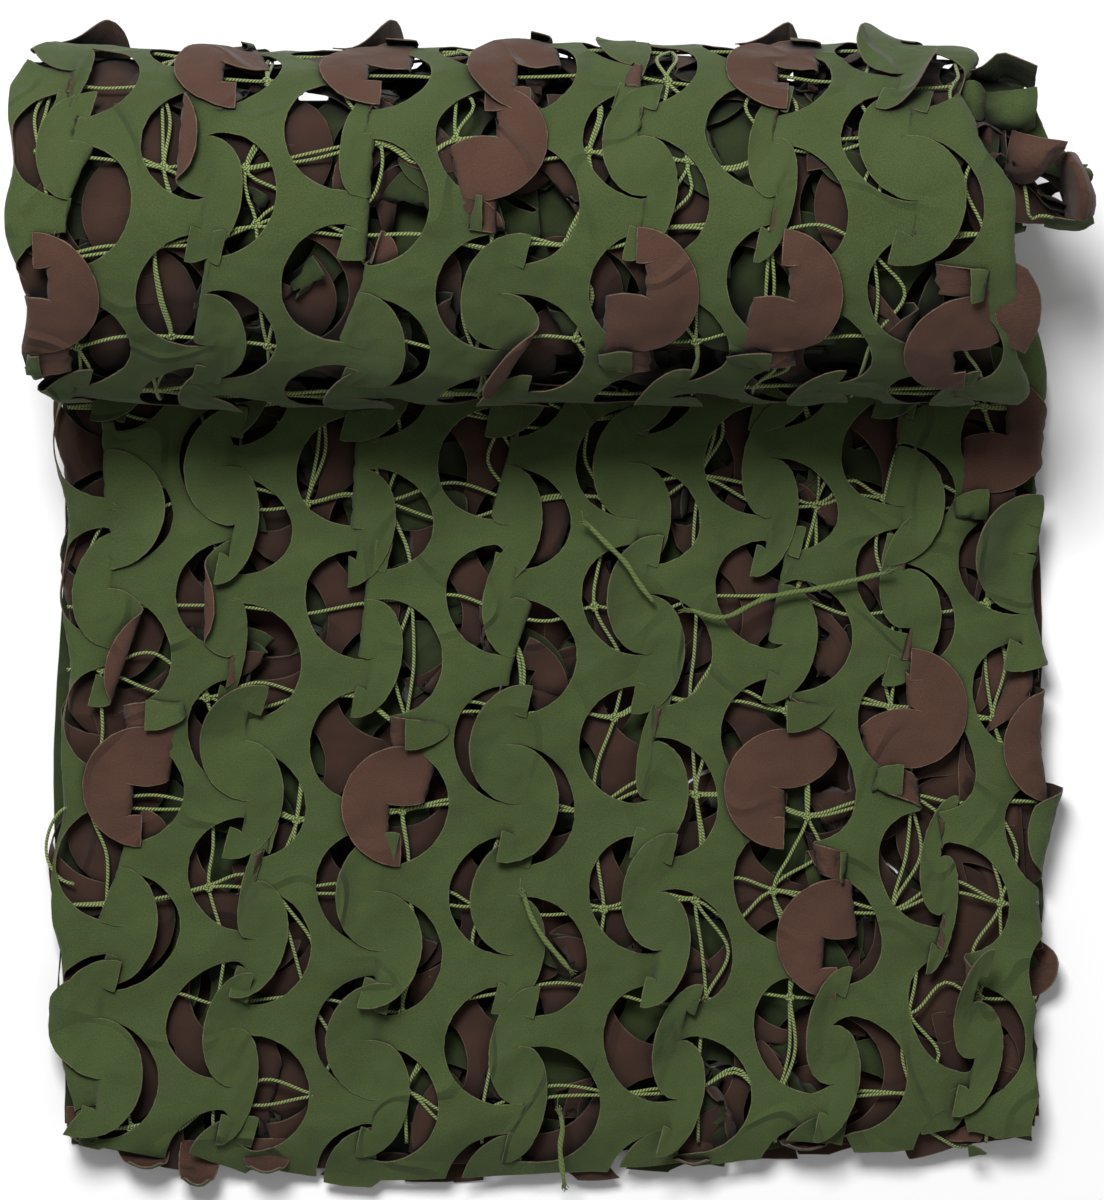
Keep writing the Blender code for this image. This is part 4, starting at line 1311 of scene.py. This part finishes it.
def net_on(form, place, lefts, lows, width, depth, seed):
    """Cords both ways across a length of cloth, laid by the given carrier, and their knots."""
    dice = np.random.default_rng(seed)
    knots = {
        (i, j): (x + dice.normal(0.0, SLACK), y + dice.normal(0.0, SLACK))
        for i, x in enumerate(lefts)
        for j, y in enumerate(lows)
    }
    for down in (True, False):
        for line in range(len(lefts) if down else len(lows)):
            if down:
                stops = [knots[line, j] for j in range(len(lows))]
                ends = [(stop[0], y) for stop, y in zip((stops[0], stops[-1]), depth)]
            else:
                stops = [knots[i, line] for i in range(len(lefts))]
                ends = [(x, stop[1]) for stop, x in zip((stops[0], stops[-1]), width)]
            for strand in range(2 if dice.uniform() < SHARE_DOUBLED else 1):
                route = [ends[0]]
                for start, stop in zip(stops, stops[1:]):
                    slack = dice.normal(0.0, SLACK) + SLACK * strand
                    middle = ((start[0] + stop[0]) / 2.0, (start[1] + stop[1]) / 2.0)
                    route.append((start[0], start[1] + 0.0010 * strand))
                    aside = (slack, 0.0) if down else (0.0, slack)
                    route.append((middle[0] + aside[0], middle[1] + aside[1]))
                route = through([(x, y, 0.0) for x, y in (*route, stops[-1], ends[1])], 0.0040)
                steps = np.arange(len(route)) * 0.35
                lift = dice.normal(0.0, 0.0004) + 0.0006 * np.sin(steps + dice.uniform(0, 6))
                laid = place(route[:, 0], route[:, 1], np.minimum(lift, MOST_LIFT))
                cord_tube(form, laid, NET_CORD / 2.0, sides=6)
    turns = np.linspace(0.0, 3.4 * math.pi, 16)
    for x, y in knots.values():
        loop = place(
            x + KNOT * np.cos(turns) * np.linspace(1.0, 0.4, 16),
            y + KNOT * np.sin(turns) * np.linspace(0.5, 1.2, 16),
            0.0010 * np.sin(turns * 0.5),
        )
        cord_tube(form, loop, NET_CORD * 0.46, sides=6)


SLACK_LOOPS = (
    # cords that hang out at the strip's sides, its cut end and the roll's right end, in millimetres
    "-240.6 -94.5 24, -246.8 -98 22, -252.1 -106.1 18, -254.5 -116.3 14, -252.3 -125.1 16,"
    " -246 -131.8 20, -239.8 -133.7 22",
    "224.9 -133.7 22, 229.8 -137.7 22, 232.5 -144.2 20, 231.5 -151.7 20, 227.3 -156.5 22,"
    " 222.7 -158.3 24",
    "181.8 -254.6 22, 189.5 -260 18, 197.3 -264.4 14, 203.9 -264.6 12, 207.7 -259.4 14,"
    " 207.4 -253 18, 203.1 -246.7 22",
    "221.2 206 118, 222 199 123, 222.6 193 124, 224 187.8 122, 229.2 189.6 121, 235.2 188.5 120",
)
NETS = (
    # name, how it is laid, its first cord across, mesh and number of cords, the same along, how
    # far the cords reach across and along, the number their slack starts from, loops that hang out
    ("net_under_strip", on_strip, (-0.2215, 0.0485, 10), (-0.2420, 0.0485 * 1.02, 8),
     (-0.243, 0.238), (-0.262, 0.135), 3, SLACK_LOOPS),
    ("net_under_roll", on_roll, (-0.232, 0.0475, 10), (-0.085, 0.046, 6),
     (-0.246, 0.208), (-0.110, 0.185), 8, ()),
)
for name, place, *cords, width, depth, seed, loops in NETS:
    form = bmesh.new()
    for line in loops:
        cord_tube(form, through(read_points(line), 0.0030), NET_CORD / 2.0, sides=6)
    lefts, lows = ([first + mesh * i for i in range(count)] for first, mesh, count in cords)
    net_on(form, place, lefts, lows, width, depth, seed)
    finished(name, form, twisted_cord)
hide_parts("carrier_net")
